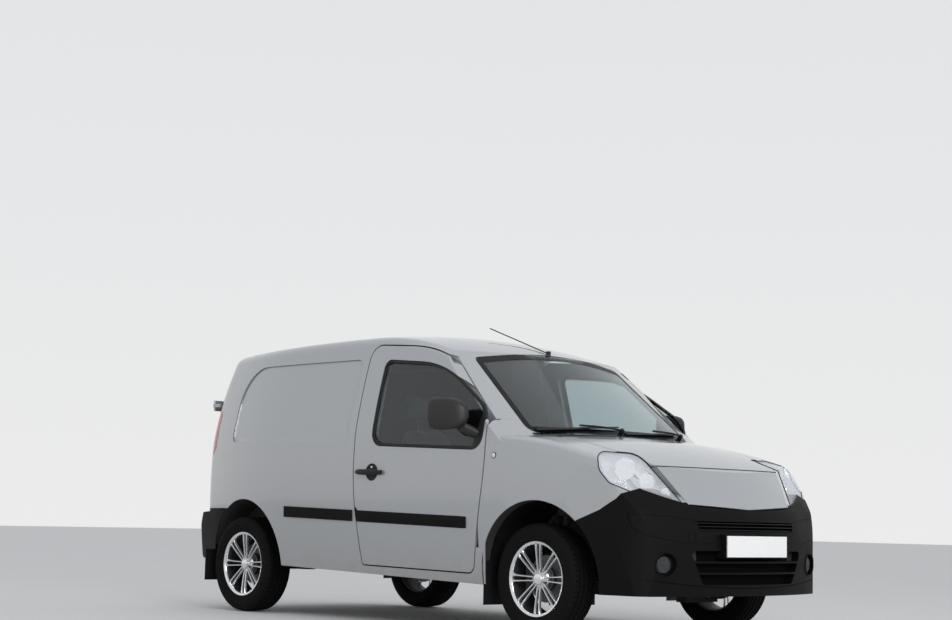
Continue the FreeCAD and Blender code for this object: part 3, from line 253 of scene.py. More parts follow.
FINISH = {
    "paint": paint(),
    # Bumper plastic: its colour is darker than the plastic itself, with painted shade in it; the mouldings,
    # ledges and fog rings share it.
    "bumper": moulded("bumper_plastic", (0.0045, 0.0043, 0.0048), 0.52, grain=900.0, strength=0.35,
                      depth=0.0002, cells=True, specular=0.08),
    "black": moulded("handle_plastic", (0.008, 0.008, 0.009), 0.45, grain=700.0, strength=0.2, specular=0.3),
    "mirror_shell": moulded("mirror_plastic", (0.026, 0.024, 0.025), 0.45, grain=900.0, strength=0.2,
                            depth=0.0002, specular=0.3),
    # Painted shade: near black, for the sheets behind the intakes and the bead in the lip's crease.
    "painted_shade": moulded("intake_shade", (0.0025, 0.0025, 0.0025), 0.9, grain=200.0, specular=0.05),
    "border": moulded("glass_border", (0.004, 0.004, 0.005), 0.38, grain=300.0, strength=0.05, specular=0.18),
    # Tyre rubber: black, darkened further with painted shade.
    "rubber": moulded("tyre_rubber", (0.0052, 0.0051, 0.005), 0.78, drift=0.3, blotch=14.0, grain=800.0,
                      strength=0.4, specular=0.09),
    "alloy": moulded("alloy", (0.62, 0.63, 0.64), 0.3, 0.8, drift=0.05, grain=1500.0, strength=0.08),
    "polished": moulded("polished_alloy", (0.8, 0.8, 0.81), 0.16, 1.0, 0.04, grain=1200.0, strength=0.04),
    "steel": moulded("brake_steel", (0.1, 0.1, 0.1), 0.4, 0.8, drift=0.2, blotch=30.0, grain=600.0),
    # Rim barrel: near black, painted shade for the shadowed inside of the rim.
    "barrel": moulded("rim_barrel", (0.03, 0.03, 0.031), 0.5, 0.3, drift=0.2, grain=300.0, specular=0.25),
    "undercoat": moulded("chassis_steel", (0.022, 0.022, 0.022), 0.74, drift=0.35, grain=160.0, strength=0.5,
                         depth=0.001),
    "cast": moulded("engine_metal", (0.2, 0.2, 0.21), 0.55, 0.6, 0.25, grain=220.0, strength=0.5,
                    depth=0.0008),
    "tank": moulded("tank_plastic", (0.026, 0.026, 0.028), 0.6, grain=350.0),
    "trim": moulded("cab_trim", (0.06, 0.061, 0.066), 0.6, grain=420.0, strength=0.4, depth=0.0004,
                    cells=True),
    "fabric": weave(),
    "screen": glass("window_glass", (0.58, 0.69, 0.71)),
    "side_glass": glass("door_window_glass", (0.56, 0.62, 0.62)),
    # Headlamp cover: its pale opaque share is a painted sheen.
    "lens": clear_lens("lamp_lens", (0.8, 0.82, 0.86), 0.26),
    # Fog lamp cover: dark, painted shade over the unlit lamp.
    "fog_lens": clear_lens("fog_lamp_lens", (0.035, 0.036, 0.04), 0.45),
    "bowl": moulded("lamp_bowl", (0.74, 0.76, 0.8), 0.3, 0.35, 0.06, 22.0, 90.0, depth=0.001),
    # Fog lamp dish: dark, painted shade in place of a bright reflector.
    "fog_bowl": moulded("fog_lamp_bowl", (0.085, 0.087, 0.092), 0.25, 0.6, 0.1, grain=90.0, depth=0.001),
    "mirror": moulded("reflector", (0.9, 0.91, 0.92), 0.08, 1.0, drift=0.03, grain=60.0, strength=0.12,
                      depth=0.001, cells=True),
    "tail": tail_lens(),
    "plate": moulded("plate_white", (0.8, 0.8, 0.8), 0.34, 0.0, 0.02, grain=420.0, strength=0.1, cells=True),
    "repeater": moulded("indicator_lens", (0.6, 0.58, 0.56), 0.15, grain=120.0, strength=0.3, depth=0.0006,
                        cells=True),
}

NODE_FINISH = {
    "paint": ["roof", "body_side_right", "body_side_left", "door_right", "door_left", "rear_door_right",
              "rear_door_left", "bonnet", "grille_panel", "wings"],
    "bumper": ["front_bumper", "rear_bumper", "side_mouldings"],
    "black": ["antenna", "arch_liners", "cowl"],
    "screen": ["windscreen"],
    "side_glass": ["door_glass_right", "door_glass_left"],
    "tail": ["tail_lamps"],
    "undercoat": ["floor_pan", "front_rails", "bulkhead", "rear_axle", "subframe", "knuckle_right",
                  "knuckle_left", "exhaust"],
    "cast": ["engine", "radiator"],
    "tank": ["fuel_tank", "spare_wheel"],
    "trim": ["dashboard", "steering_wheel"],
    "plate": ["front_plate"],
}
for key, names in NODE_FINISH.items():
    for name in names:
        for slot in nodes[name].material_slots:
            slot.material = FINISH[key]


# Mesh helpers

def add_object(name, data):
    obj = bpy.data.objects.new(name, data)
    bpy.context.scene.collection.objects.link(obj)
    return obj


def settle(obj, body, replaces=()):
    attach(obj, body)
    if replaces:
        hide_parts(*replaces)
    return obj


def piece(name, bm, body, finish, replaces=(), sharp=35.0):
    """Makes the mesh an object that rides on a body."""
    bmesh.ops.remove_doubles(bm, verts=bm.verts, dist=1e-6)
    bmesh.ops.recalc_face_normals(bm, faces=bm.faces)
    mesh = bpy.data.meshes.new(name)
    bm.to_mesh(mesh)
    bm.free()
    for polygon in mesh.polygons:
        polygon.use_smooth = True
    mesh.set_sharp_from_angle(angle=math.radians(sharp))
    mesh.materials.append(FINISH[finish])
    return settle(add_object(name, mesh), body, replaces)


def tube(name, points, radius, body, finish, closed=False):
    """A round bead through the points."""
    curve = bpy.data.curves.new(name, "CURVE")
    curve.dimensions = "3D"
    curve.bevel_depth = radius
    curve.bevel_resolution = 3
    curve.use_fill_caps = True
    spline = curve.splines.new("POLY")
    spline.points.add(len(points) - 1)
    for target, p in zip(spline.points, points):
        target.co = (*p, 1.0)
    spline.use_cyclic_u = closed
    spline.use_smooth = True
    curve.materials.append(FINISH[finish])
    settle(add_object(name, curve), body)


def loft(bm, rings, cap=True, closed=False):
    """Skins closed rings of equal length."""
    loops = [[bm.verts.new(p) for p in ring] for ring in rings]
    following = loops[1:] + (loops[:1] if closed else [])
    for a, b in zip(loops, following):
        for i in range(len(a)):
            j = (i + 1) % len(a)
            bm.faces.new((a[i], a[j], b[j], b[i]))
    if cap and not closed:
        bm.faces.new(list(reversed(loops[0])))
        bm.faces.new(loops[-1])
    return bm


def even(first, last, steps):
    """Evenly spaced values from first to last."""
    return [first + (last - first) * k / steps for k in range(steps + 1)]


def around(count):
    """Cosine and sine of each step of a full turn."""
    return [(math.cos(2 * math.pi * k / count), math.sin(2 * math.pi * k / count)) for k in range(count)]


def wheel_ring(section, x, y, sign, angle, scale=lambda r, q: r):
    """A (radius, outward offset) section turned to an angle about the axle."""
    turn = math.radians(angle)
    reach = [(scale(r, q), q) for r, q in section]
    return [Vector((x + r * math.sin(turn), y + sign * q, TYRE_R + r * math.cos(turn))) for r, q in reach]


def revolve(bm, section, x, y, sign, steps=RIM_STEPS):
    """Turns a closed section about the axle."""
    rings = [wheel_ring(section, x, y, sign, 360.0 * k / steps) for k in range(steps)]
    return loft(bm, rings, closed=True)


def turned(bm, section, origin, axis, steps=48):
    """Turns an open (radius, along) section about an axis: closed at its ends where the radius is zero."""
    axis = Vector(axis).normalized()
    side = axis.orthogonal().normalized()
    other = axis.cross(side)
    rings = []
    for r, along in section:
        r = max(r, 1e-5)
        rings.append([Vector(origin) + axis * along + (side * c + other * s) * r for c, s in around(steps)])
    return loft(bm, rings)


def turned_piece(name, section, origin, axis, body, finish, steps=48, sharp=35.0):
    return piece(name, turned(bmesh.new(), section, origin, axis, steps), body, finish, sharp=sharp)


def tree_of(*names):
    """Ray casting against those solids."""
    verts, faces = [], []
    for name in names:
        mesh = nodes[name].data
        base = len(verts)
        verts += [v.co.copy() for v in mesh.vertices]
        faces += [[base + i for i in p.vertices] for p in mesh.polygons]
    return BVHTree.FromPolygons(verts, faces)


def first_hit(tree, start_at, direction, u, v, towards, lift):
    """The surface met by a ray from start_at(u, v). One that passes outside the edge moves in to meet it."""
    for _ in range(RAY_TRIES):
        place, normal, _, _ = tree.ray_cast(start_at(u, v), direction)
        if place:
            return place + normal * lift
        u, v = u + (towards[0] - u) * RAY_STEP, v + (towards[1] - v) * RAY_STEP
    raise ValueError("no surface near the ray")


def on_side(tree, sign, x, z, lift=0.0, towards=(0.3, 1.3)):
    inward = Vector((0, -sign, 0))
    return first_hit(tree, lambda u, v: Vector((u, sign * SIDE_START, v)), inward, x, z, towards, lift)


def on_front(tree, y, z, lift=0.0, towards=(0.0, 1.4)):
    back = Vector((-1, 0, 0))
    return first_hit(tree, lambda u, v: Vector((NOSE_START, u, v)), back, y, z, towards, lift)


def rounded(points, step=0.03):
    """Samples a closed outline of (u, v, corner radius)."""
    count = len(points)
    out = []
    for i, (u, v, r) in enumerate(points):
        here = Vector((u, v))
        a = (Vector(points[i - 1][:2]) - here).normalized()
        b = (Vector(points[(i + 1) % count][:2]) - here).normalized()
        turn = math.pi - a.angle(b)
        reach = r * math.tan(turn / 2)
        centre = here + (a + b).normalized() * (r / math.cos(turn / 2))
        first, last = here + a * reach, here + b * reach
        pieces = max(3, int(r * turn / step))
        start, end = first - centre, last - centre
        for k in range(pieces + 1):
            arm = start.lerp(end, k / pieces)
            out.append(centre + arm.normalized() * r)
    dense = []
    for i, p in enumerate(out):
        q = out[(i + 1) % len(out)]
        parts = max(1, int((q - p).length / step))
        dense += [p.lerp(q, k / parts) for k in range(parts)]
    return dense


def inset(outline, width):
    """The outline moved inwards by width."""
    area = sum(p.x * q.y - q.x * p.y for p, q in zip(outline, outline[1:] + outline[:1]))
    side = 1 if area > 0 else -1
    moved = []
    for i, p in enumerate(outline):
        along = (outline[(i + 1) % len(outline)] - outline[i - 1]).normalized()
        moved.append(p + Vector((-along.y, along.x)) * side * width)
    return moved


def band(bm, outline, width, place, thickness):
    """A strip between the outline and its inset, each laid on a surface by place(u, v, lift)."""
    inner = inset(outline, width)
    rings = [
        [place(p.x, p.y, 0.0) for p in outline], [place(p.x, p.y, thickness) for p in outline],
        [place(p.x, p.y, thickness) for p in inner], [place(p.x, p.y, 0.0) for p in inner],
    ]
    return loft(bm, rings, closed=True)


# Wheels

# Half of the tyre's section, from the bead to the middle of the tread: (radius, outward offset)
TYRE_WALL = [
    (BEAD_R, 0.079), (0.212, 0.0835), (0.22, 0.088), (0.223, 0.0896), (0.225, 0.0893),
    (0.236, 0.093), (0.252, 0.0958), (0.264, 0.0955), (0.276, 0.093), (0.2785, 0.0938),
    (0.2805, 0.0925), (0.289, 0.0885), (0.296, 0.0845), (0.3005, 0.08), (0.3035, 0.0745),
]
TYRE_TREAD = [
    (0.3048, 0.06), (0.3052, 0.056), (0.2985, 0.0545), (0.2985, 0.048), (0.306, 0.0465),
    (0.307, 0.024), (0.3, 0.0225), (0.3, 0.0155), (0.3075, 0.014), (0.308, 0.001),
]
# One pitch of the shoulder blocks, outside BLOCK_R and BLOCK_INNER: (share of the pitch, depth of the cut)
TREAD_PITCH = ((0.0, 0.0055), (0.17, 0.0055), (0.21, 0.0), (0.55, 0.0), (0.96, 0.0))
BLOCK_R = 0.303
BLOCK_INNER = 0.03
# A slim spoke, from under the cap to the lip: (radius, outward offset of its face, half width)
SPOKE = (
    (0.03, 0.056, 0.005), (0.056, 0.06, 0.0046), (0.085, 0.064, 0.0042), (0.12, 0.068, 0.0042),
    (0.155, 0.071, 0.0047), (0.176, 0.072, 0.0058), (0.19, 0.0725, 0.0085),
)
# Its section: (share of the half width, outward from the face)
SPOKE_SECTION = ((-1.0, -0.016), (-1.0, -0.004), (-0.62, 0.0), (0.62, 0.0), (1.0, -0.004), (1.0, -0.016))
SPOKE_SHIFT = 0.0095
SPOKE_SPREAD = 0.0075
SPOKE_END_R = 0.19
# Sections about the axle: (radius, outward offset)
BARREL = [
    (0.203, -0.076), (0.203, 0.07), (0.195, 0.074), (0.19, 0.066), (0.187, 0.03),
    (0.184, -0.04), (0.194, -0.076),
]
HUB = [(0.0, 0.02), (0.062, 0.02), (0.062, 0.04), (0.056, 0.05), (0.04, 0.0535), (0.031, 0.056), (0.0, 0.056)]
LIP = [
    (0.1895, 0.064), (0.1915, 0.0745), (0.1935, 0.078), (0.1975, 0.0795), (0.203, 0.08),
    (0.2065, 0.083), (0.208, 0.08), (0.207, 0.076), (0.2045, 0.074), (0.203, 0.064),
]
CAP = [(0.0, 0.05), (0.03, 0.05), (0.031, 0.065), (0.028, 0.0685), (0.018, 0.07), (0.0, 0.0703)]
BOLT = [
    (0.0, 0.04), (0.0105, 0.04), (0.0105, 0.0535), (0.0075, 0.0545), (0.0075, 0.0595), (0.006, 0.061),
    (0.0, 0.061),
]
BOLT_CIRCLE_R = 0.0475
VALVE = [(0.0, 0.048), (0.004, 0.048), (0.004, 0.066), (0.003, 0.07), (0.0, 0.07)]
VALVE_R = 0.182
VALVE_TURN = 0.2
DISC = {
    "front": [(0.062, -0.0265), (0.1305, -0.0265), (0.1305, -0.003), (0.062, -0.003)],
    "rear": [(0.062, -0.0262), (0.1305, -0.0262), (0.1305, -0.0145), (0.062, -0.0145)],
}
DISC_HAT = [(0.0, -0.03), (0.07, -0.03), (0.072, 0.012), (0.064, 0.018), (0.0, 0.0195)]


def tyre(name, x, y, sign, body):
    """Tyre with a blocked tread, shoulder ribs and a bulged wall."""
    outer = TYRE_WALL + TYRE_TREAD
    section = outer + [(r, -q) for r, q in reversed(outer)]
    loops = []
    for k in range(TREAD_PITCHES):
        for part, depth in TREAD_PITCH:
            def cut(r, q, depth=depth):
                return r - depth if r > BLOCK_R and abs(q) > BLOCK_INNER else r
            loops.append(wheel_ring(section, x, y, sign, 360.0 * (k + part) / TREAD_PITCHES, cut))
    bm = loft(bmesh.new(), loops, closed=True)
    piece("tread_" + name, bm, body, "rubber", replaces=["tyre_" + name], sharp=28.0)


def spoke(bm, x, y, sign, pair_angle, lean):
    """One spoke of a pair, which leans away from the other."""
    turn = math.radians(pair_angle)
    along = Vector((math.sin(turn), 0, math.cos(turn)))
    across = Vector((math.cos(turn), 0, -math.sin(turn)))
    out = Vector((0, sign, 0))
    centre = Vector((x, y, TYRE_R))
    rings = []
    for r, face, w in SPOKE:
        shift = lean * (SPOKE_SHIFT + SPOKE_SPREAD * (r / SPOKE_END_R) ** 1.5)
        base = centre + along * r + across * shift
        rings.append([base + across * (u * w) + out * (face + v) for u, v in SPOKE_SECTION])
    loft(bm, rings)


def on_wheel(x, y, r, turn):
    return (x + r * math.sin(turn), y, TYRE_R + r * math.cos(turn))


def rim(name, x, y, sign, body, disc):
    centre, out = (x, y, TYRE_R), (0, sign, 0)
    # The barrel's dark finish is painted shade.
    piece("rim_barrel_" + name, revolve(bmesh.new(), BARREL, x, y, sign), body, "barrel")
    bm = bmesh.new()
    for k in range(SPOKE_PAIRS):
        for lean in (-1, 1):
            spoke(bm, x, y, sign, 360.0 * k / SPOKE_PAIRS, lean)
    turned(bm, HUB, centre, out, 64)
    piece("spoked_rim_" + name, bm, body, "alloy", replaces=["rim_" + name], sharp=30.0)
    piece("rim_lip_" + name, revolve(bmesh.new(), LIP, x, y, sign, LIP_STEPS), body, "polished", sharp=50.0)
    turned_piece("hub_cap_" + name, CAP, centre, out, body, "polished")
    bm = bmesh.new()
    for angle in (22.5, 112.5, 202.5, 292.5):
        turned(bm, BOLT, on_wheel(x, y, BOLT_CIRCLE_R, math.radians(angle)), out, 6)
    piece("wheel_bolts_" + name, bm, body, "steel")
    valve_at = on_wheel(x, y, VALVE_R, VALVE_TURN)
    turned_piece("tyre_valve_" + name, VALVE, valve_at, out, body, "black", 12)
    rotor = revolve(bmesh.new(), disc, x, y, sign)
    turned(rotor, DISC_HAT, centre, out, 64)
    piece("brake_rotor_" + name, rotor, body, "steel")


for end, axle_x, half_track in ENDS:
    for sign, side in SIDES:
        name = end + "_" + side
        tyre(name, axle_x, sign * half_track, sign, "wheel_" + name)
        rim(name, axle_x, sign * half_track, sign, "wheel_" + name, DISC[end])


# Headlamps and fog lamps

FOG_TOP_Z = 0.6
LENS_FACING = 0.05
# The bowl behind the lens: (share of the lens's outline, depth)
BOWL = ((0.992, 0.001), (0.97, 0.022), (0.9, 0.05), (0.7, 0.078), (0.3, 0.088))
# Reflectors of one headlamp: place on the skin (x, |y|, z), radius, depth behind the skin
REFLECTORS = (
    ((1.772, 0.718, 0.915), 0.056, 0.04), ((1.85, 0.632, 0.85), 0.042, 0.036),
    ((1.915, 0.552, 0.79), 0.026, 0.03),
)
# Inside of a reflector: shares of its radius (across, deep)
DISH = ((0.86, 0.16), (0.62, 0.38), (0.34, 0.52), (0.12, 0.57))
FOG_Y = 0.628
FOG_Z = 0.408
FOG_RING_R = 0.064
FOG_LENS = [(0.0, -0.003), (0.0425, -0.003), (0.0425, 0.003), (0.03, 0.0075), (0.0, 0.0095)]
FOG_DISH = [(0.0435, -0.001), (0.0425, -0.004), (0.034, -0.013), (0.016, -0.019), (0.0, -0.02)]


def lamp_lens(sign):
    """The outward skin of one headlamp solid, and its rim in order."""
    bm = bmesh.new()
    bm.from_mesh(nodes["front_lamps"].data)
    bmesh.ops.remove_doubles(bm, verts=bm.verts, dist=1e-5)
    bm.normal_update()
    out = Vector((0.7071, sign * 0.7071, 0))

    def outward(face):
        centre = face.calc_center_median()
        return centre.y * sign > 0 and centre.z > FOG_TOP_Z and face.normal.dot(out) > LENS_FACING

    bmesh.ops.delete(bm, geom=[f for f in bm.faces if not outward(f)], context="FACES")
    edges = [e for e in bm.edges if e.is_boundary]
    start = edges[0].verts[0]
    loop, here, last = [start], edges[0].other_vert(start), start
    while here is not start and len(loop) < len(edges) + 1:
        loop.append(here)
        ahead = [e for e in here.link_edges if e.is_boundary and e.other_vert(here) is not last]
        last, here = here, ahead[0].other_vert(here)
    return bm, [v.co.copy() for v in loop]


def toed(sign, degrees):
    """Forward, turned outwards by that angle."""
    turn = math.radians(degrees)
    return Vector((math.cos(turn), sign * math.sin(turn), 0))


for sign, side in SIDES:
    lens, loop = lamp_lens(sign)
    lens_obj = piece("headlamp_lens_" + side, lens, "body", "lens", replaces=["front_lamps"])
    solid = lens_obj.modifiers.new("thickness", "SOLIDIFY")
    solid.thickness = 0.003
    solid.offset = -1.0
    back = Vector((-0.7071, -sign * 0.7071, 0))
    middle = sum(loop, Vector()) / len(loop)
    rings = [[middle + (p - middle) * scale + back * depth for p in loop] for scale, depth in BOWL]
    bowl = loft(bmesh.new(), list(reversed(rings)), cap=False)
    piece("headlamp_bowl_" + side, bowl, "body", "bowl", sharp=60.0)
    tube("headlamp_seal_" + side, loop, 0.003, "body", "black", True)
    dishes, bulbs = bmesh.new(), bmesh.new()
    aim = toed(sign, 25)
    for (px, py, pz), radius, depth in REFLECTORS:
        at = Vector((px, sign * py, pz)) + back * depth
        profile = [(radius * 1.1, 0.002), (radius * 1.04, 0.006), (radius, 0.002)]
        turned(dishes, profile + [(radius * wide, -radius * deep) for wide, deep in DISH], at, aim)
        bulb = [(0.0, -radius * 0.5), (0.007, -radius * 0.5), (0.008, -0.004), (0.006, 0.003), (0.0, 0.005)]
        turned(bulbs, bulb, at, aim, 16)
    piece("headlamp_reflectors_" + side, dishes, "body", "mirror", sharp=50.0)
    piece("headlamp_bulbs_" + side, bulbs, "body", "plate")

bumper_tree = tree_of("front_bumper")
lamp_tree = tree_of("front_lamps")
for sign, side in SIDES:
    circle = [(sign * FOG_Y + FOG_RING_R * c, FOG_Z + FOG_RING_R * s) for c, s in around(48)]
    ring = [on_front(bumper_tree, y, z, 0.0005) for y, z in circle]
    tube("fog_ring_" + side, ring, 0.0045, "body", "bumper", True)
    middle = on_front(lamp_tree, sign * FOG_Y, FOG_Z)
    aim = toed(sign, 14)
    turned_piece("fog_lens_" + side, FOG_LENS, middle, aim, "body", "fog_lens")
    turned_piece("fog_dish_" + side, FOG_DISH, middle, aim, "body", "fog_bowl", sharp=50.0)

# Painted shadow line for the crease above the lower lip, which rises towards the corners: a dark bead sunk
# into the skin
LIP_Z, LIP_RISE, LIP_HALF = 0.283, 0.045, 0.729
crease = [(y, LIP_Z + LIP_RISE * abs(y / LIP_HALF) ** 2.2) for y in even(-LIP_HALF, LIP_HALF, 48)]
tube("lip_crease_painted_shadow", [on_front(bumper_tree, y, z, -0.0004) for y, z in crease], 0.0022, "body", "painted_shade")


# Shut lines over and under the closed grille panel, drawn as black beads of painted shade, and the skin
# between it and the lamps

# Two corners of the panel and its lowest point: (y, z)
PANEL_TOP, PANEL_LOW, PANEL_TIP = (0.53, 0.936), (0.44, 0.728), (0.0, 0.706)
PANEL_EDGE = 0.003
LINE_SHIFT = 0.0015
SKIN = 0.004
panel_tree = tree_of("grille_panel")


def on_panel(y, z):
    return on_front(panel_tree, y, z, 0.0, (0.0, 0.82))


def lamp_edge(y, z, sign):
    """The lamp's skin nearest to the panel at that height."""
    for k in range(160):
        at = Vector((NOSE_START, sign * (y + 0.001 * k), z))
        place, _, _, _ = lamp_tree.ray_cast(at, Vector((-1, 0, 0)))
        if place and place.x > 1.5:
            return place
    return None


edge = even(-1, 1, 40)
# The shut lines: black beads, painted shade for the gaps.
top_line = [on_panel(t * (PANEL_TOP[0] - PANEL_EDGE), PANEL_TOP[1] - LINE_SHIFT) for t in edge]
tube("panel_top_line", top_line, 0.0032, "body", "black")
low_line = []
for t in edge:
    z = PANEL_TIP[1] + abs(t) * (PANEL_LOW[1] - PANEL_TIP[1]) + LINE_SHIFT
    low_line.append(on_panel(t * (PANEL_LOW[0] - PANEL_EDGE), z))
tube("panel_low_line", low_line, 0.0026, "body", "black")

for sign, side in SIDES:
    rings = []
    inward = Vector((-SKIN, 0, 0))
    for t in even(0, 1, 24):
        z = PANEL_LOW[1] + 0.004 + t * (PANEL_TOP[1] - PANEL_LOW[1] - 0.006)
        y = PANEL_LOW[0] + t * (PANEL_TOP[0] - PANEL_LOW[0])
        near, far = on_panel(sign * (y - PANEL_EDGE), z), lamp_edge(y, z, sign)
        if far:
            rings.append([near, far, far + inward, near + inward])
    piece("panel_side_skin_" + side, loft(bmesh.new(), rings), "body", "paint")


# Dark sheets of painted shade at the backs of the air intakes, and louvres in the slot, curved as the nose is

NOSE_R = 2.1
LOUVRE = ((0, -0.003), (0.016, -0.0015), (0.016, 0.0015), (0, 0.003))
# Height and half width, each from below to above
INTAKES = (((0.282, 0.505), (0.42, 0.5)), ((0.575, 0.662), (0.44, 0.46)))


def nose_x(y, behind):
    return math.sqrt(NOSE_R * NOSE_R - y * y) - behind


intake_bm = bmesh.new()
for heights, halves in INTAKES:
    grid = []
    for z, half in zip(even(*heights, 8), even(*halves, 8)):
        row = [Vector((nose_x(y, 0.062), y, z)) for y in even(-half, half, 32)]
        grid.append([intake_bm.verts.new(p) for p in row])
    for a, b in zip(grid, grid[1:]):
        for i in range(32):
            intake_bm.faces.new((a[i], a[i + 1], b[i + 1], b[i]))
piece("intake_painted_shade", intake_bm, "body", "painted_shade")

louvres = bmesh.new()
for z in (0.596, 0.614, 0.632):
    middles = [(nose_x(y, 0.05), y) for y in even(-0.43, 0.43, 32)]
    loft(louvres, [[Vector((x + ahead, y, z + up)) for ahead, up in LOUVRE] for x, y in middles])
piece("slot_louvres", louvres, "body", "black")


# Glass borders and seals

SEAL_WIDTH = 0.019
SEAL_THICKNESS = 0.0085
BORDER_WIDTH = 0.03
screen_tree = tree_of("windscreen")


def on_screen(y, z, lift):
    return on_front(screen_tree, y, z, lift + 0.0003)


border = band(bmesh.new(), inset(rounded(WINDSCREEN), 0.004), BORDER_WIDTH, on_screen, 0.0006)
piece("windscreen_border", border, "body", "border")
for sign, side in SIDES:
    pane = tree_of("door_glass_" + side)
    outline = inset(rounded(DOOR_WINDOW), 0.001)

    def lay(x, z, lift, pane=pane, sign=sign):
        return on_side(pane, sign, x, z, lift + 0.0005)

    seal = band(bmesh.new(), outline, SEAL_WIDTH, lay, SEAL_THICKNESS)
    piece("window_seal_" + side, seal, "door_" + side + "_body", "black")
    bead = [lay(p.x, p.y, SEAL_THICKNESS + 0.001) for p in inset(outline, 0.004)]
    tube("window_bead_" + side, bead, 0.0028, "door_" + side + "_body", "black", True)


# Side mouldings and door handles

MOULDING_TOP = 0.669
MOULDING_SLOPE = -0.026
MOULDING_HEIGHT = 0.068
MOULDING_STEPS = 30
# (share of the height from the top, how far it stands out)
MOULDING = (
    (0.0, -0.002), (0.0, 0.0035), (0.06, 0.0075), (0.16, 0.009), (0.5, 0.0092), (0.84, 0.009),
    (0.94, 0.0075), (1.0, 0.0035), (1.0, -0.002),
)
HANDLE_Z = 0.898
HANDLE_X = (-0.247, -0.003)
LEVER_HALF_HEIGHT = 0.017
LEVER_HALF_DEPTH = 0.0085
BOSS_X = -0.108
CUP = [
    (0.0, 0.0012), (0.03, 0.0018), (0.044, 0.0034), (0.048, 0.0056), (0.0505, 0.0052), (0.0525, 0.002),
    (0.0525, -0.003),
]
LEVER_FOOT = [(0.0, -0.003), (0.014, -0.003), (0.012, 0.01), (0.011, 0.02), (0.0, 0.02)]
DOOR_LOCK = [(0.0, 0.001), (0.009, 0.001), (0.009, 0.0035), (0.0, 0.004)]


def moulding(tree, sign, x_from, x_to):
    """A rounded strip on the side, a little smaller at its ends."""
    rings = []
    for k, x in enumerate(even(x_from, x_to, MOULDING_STEPS)):
        top = MOULDING_TOP + MOULDING_SLOPE * (x + 0.278)
        narrower, flatter = (0.96, 0.8) if k in (0, MOULDING_STEPS) else (1.0, 1.0)
        ring = []
        for share, out in MOULDING:
            share = 0.5 + (share - 0.5) * narrower
            ring.append(on_side(tree, sign, x, top - MOULDING_HEIGHT * share, out * flatter))
        rings.append(ring)
    return loft(bmesh.new(), rings)


def lever_ring(tree, sign, t):
    """The lever's oval section at t, from -1 at its rear end to 1 at its front end."""
    x = (HANDLE_X[0] + HANDLE_X[1]) / 2 + t * (HANDLE_X[1] - HANDLE_X[0]) / 2
    base = on_side(tree, sign, x, HANDLE_Z)
    swell = max(0.02, 1 - abs(t) ** 5) ** 0.5
    stand = 0.017 + 0.012 * (1 - t * t)
    ring = []
    for c, s in around(16):
        out = stand + LEVER_HALF_DEPTH * swell * c
        ring.append(base + Vector((0, sign * out, LEVER_HALF_HEIGHT * swell * s - 0.002 * t)))
    return ring


for sign, side in SIDES:
    door_tree = tree_of("door_" + side)
    body = "door_" + side + "_body"
    out = (0, sign, 0)
    strip = moulding(door_tree, sign, -0.268, 0.728)
    piece("door_moulding_" + side, strip, body, "bumper", replaces=["door_trim_" + side])
    boss = on_side(door_tree, sign, BOSS_X, HANDLE_Z)
    turned_piece("handle_cup_" + side, CUP, boss, out, body, "black", 64, sharp=60.0)
    lever = loft(bmesh.new(), [lever_ring(door_tree, sign, t) for t in even(-1, 1, 24)])
    for x in (HANDLE_X[0] + 0.022, HANDLE_X[1] - 0.022):
        turned(lever, LEVER_FOOT, on_side(door_tree, sign, x, HANDLE_Z), out, 20)
    piece("door_lever_" + side, lever, body, "black")
    lock = on_side(door_tree, sign, BOSS_X, HANDLE_Z + 0.034)
    turned_piece("door_lock_" + side, DOOR_LOCK, lock, out, body, "polished", 24)


# Outside mirrors

# Head: (x, inner |y|, outer |y|, bottom, top)
MIRROR_HEAD = (
    (0.766, 0.936, 0.95, 1.205, 1.238), (0.757, 0.932, 0.974, 1.178, 1.268),
    (0.74, 0.93, 0.996, 1.159, 1.291), (0.712, 0.93, 1.018, 1.146, 1.307),
    (0.67, 0.93, 1.038, 1.139, 1.318), (0.62, 0.931, 1.053, 1.136, 1.3235),
    (0.58, 0.932, 1.061, 1.136, 1.324), (0.556, 0.933, 1.0635, 1.137, 1.323),
    (0.549, 0.937, 1.06, 1.141, 1.319), (0.549, 0.942, 1.055, 1.147, 1.313),
    (0.56, 0.944, 1.053, 1.149, 1.311),
)
MIRROR_FACE = ((0.5595, 0.945, 1.052, 1.15, 1.31), (0.5555, 0.947, 1.05, 1.152, 1.308))
SQUARENESS = 3.2
SAIL_X = 0.738
SAIL_TOP_Z = 1.26
SAIL_CENTRE = (0.79, 1.12)


def mirror_ring(station, sign):
    """A rounded-square ring across the head."""
    x, y_in, y_out, z_low, z_high = station
    ring = []
    for c, s in around(40):
        u, v = (math.copysign(abs(a) ** (2 / SQUARENESS), a) for a in (c, s))
        y = (y_in + y_out) / 2 + u * (y_out - y_in) / 2
        ring.append(Vector((x, sign * y, (z_low + z_high) / 2 + v * (z_high - z_low) / 2)))
    return ring


def foot_ring(t, sign):
    """The foot's section at t, from 0 in the sail to 1 in the head."""
    x, half = 0.762 - 0.04 * t, 0.046 - 0.01 * t
    y, z = 0.872 + t * 0.085, 1.112 + 0.042 * t
    return [Vector((x + half * c, sign * y, z + 0.03 * s)) for c, s in around(24)]


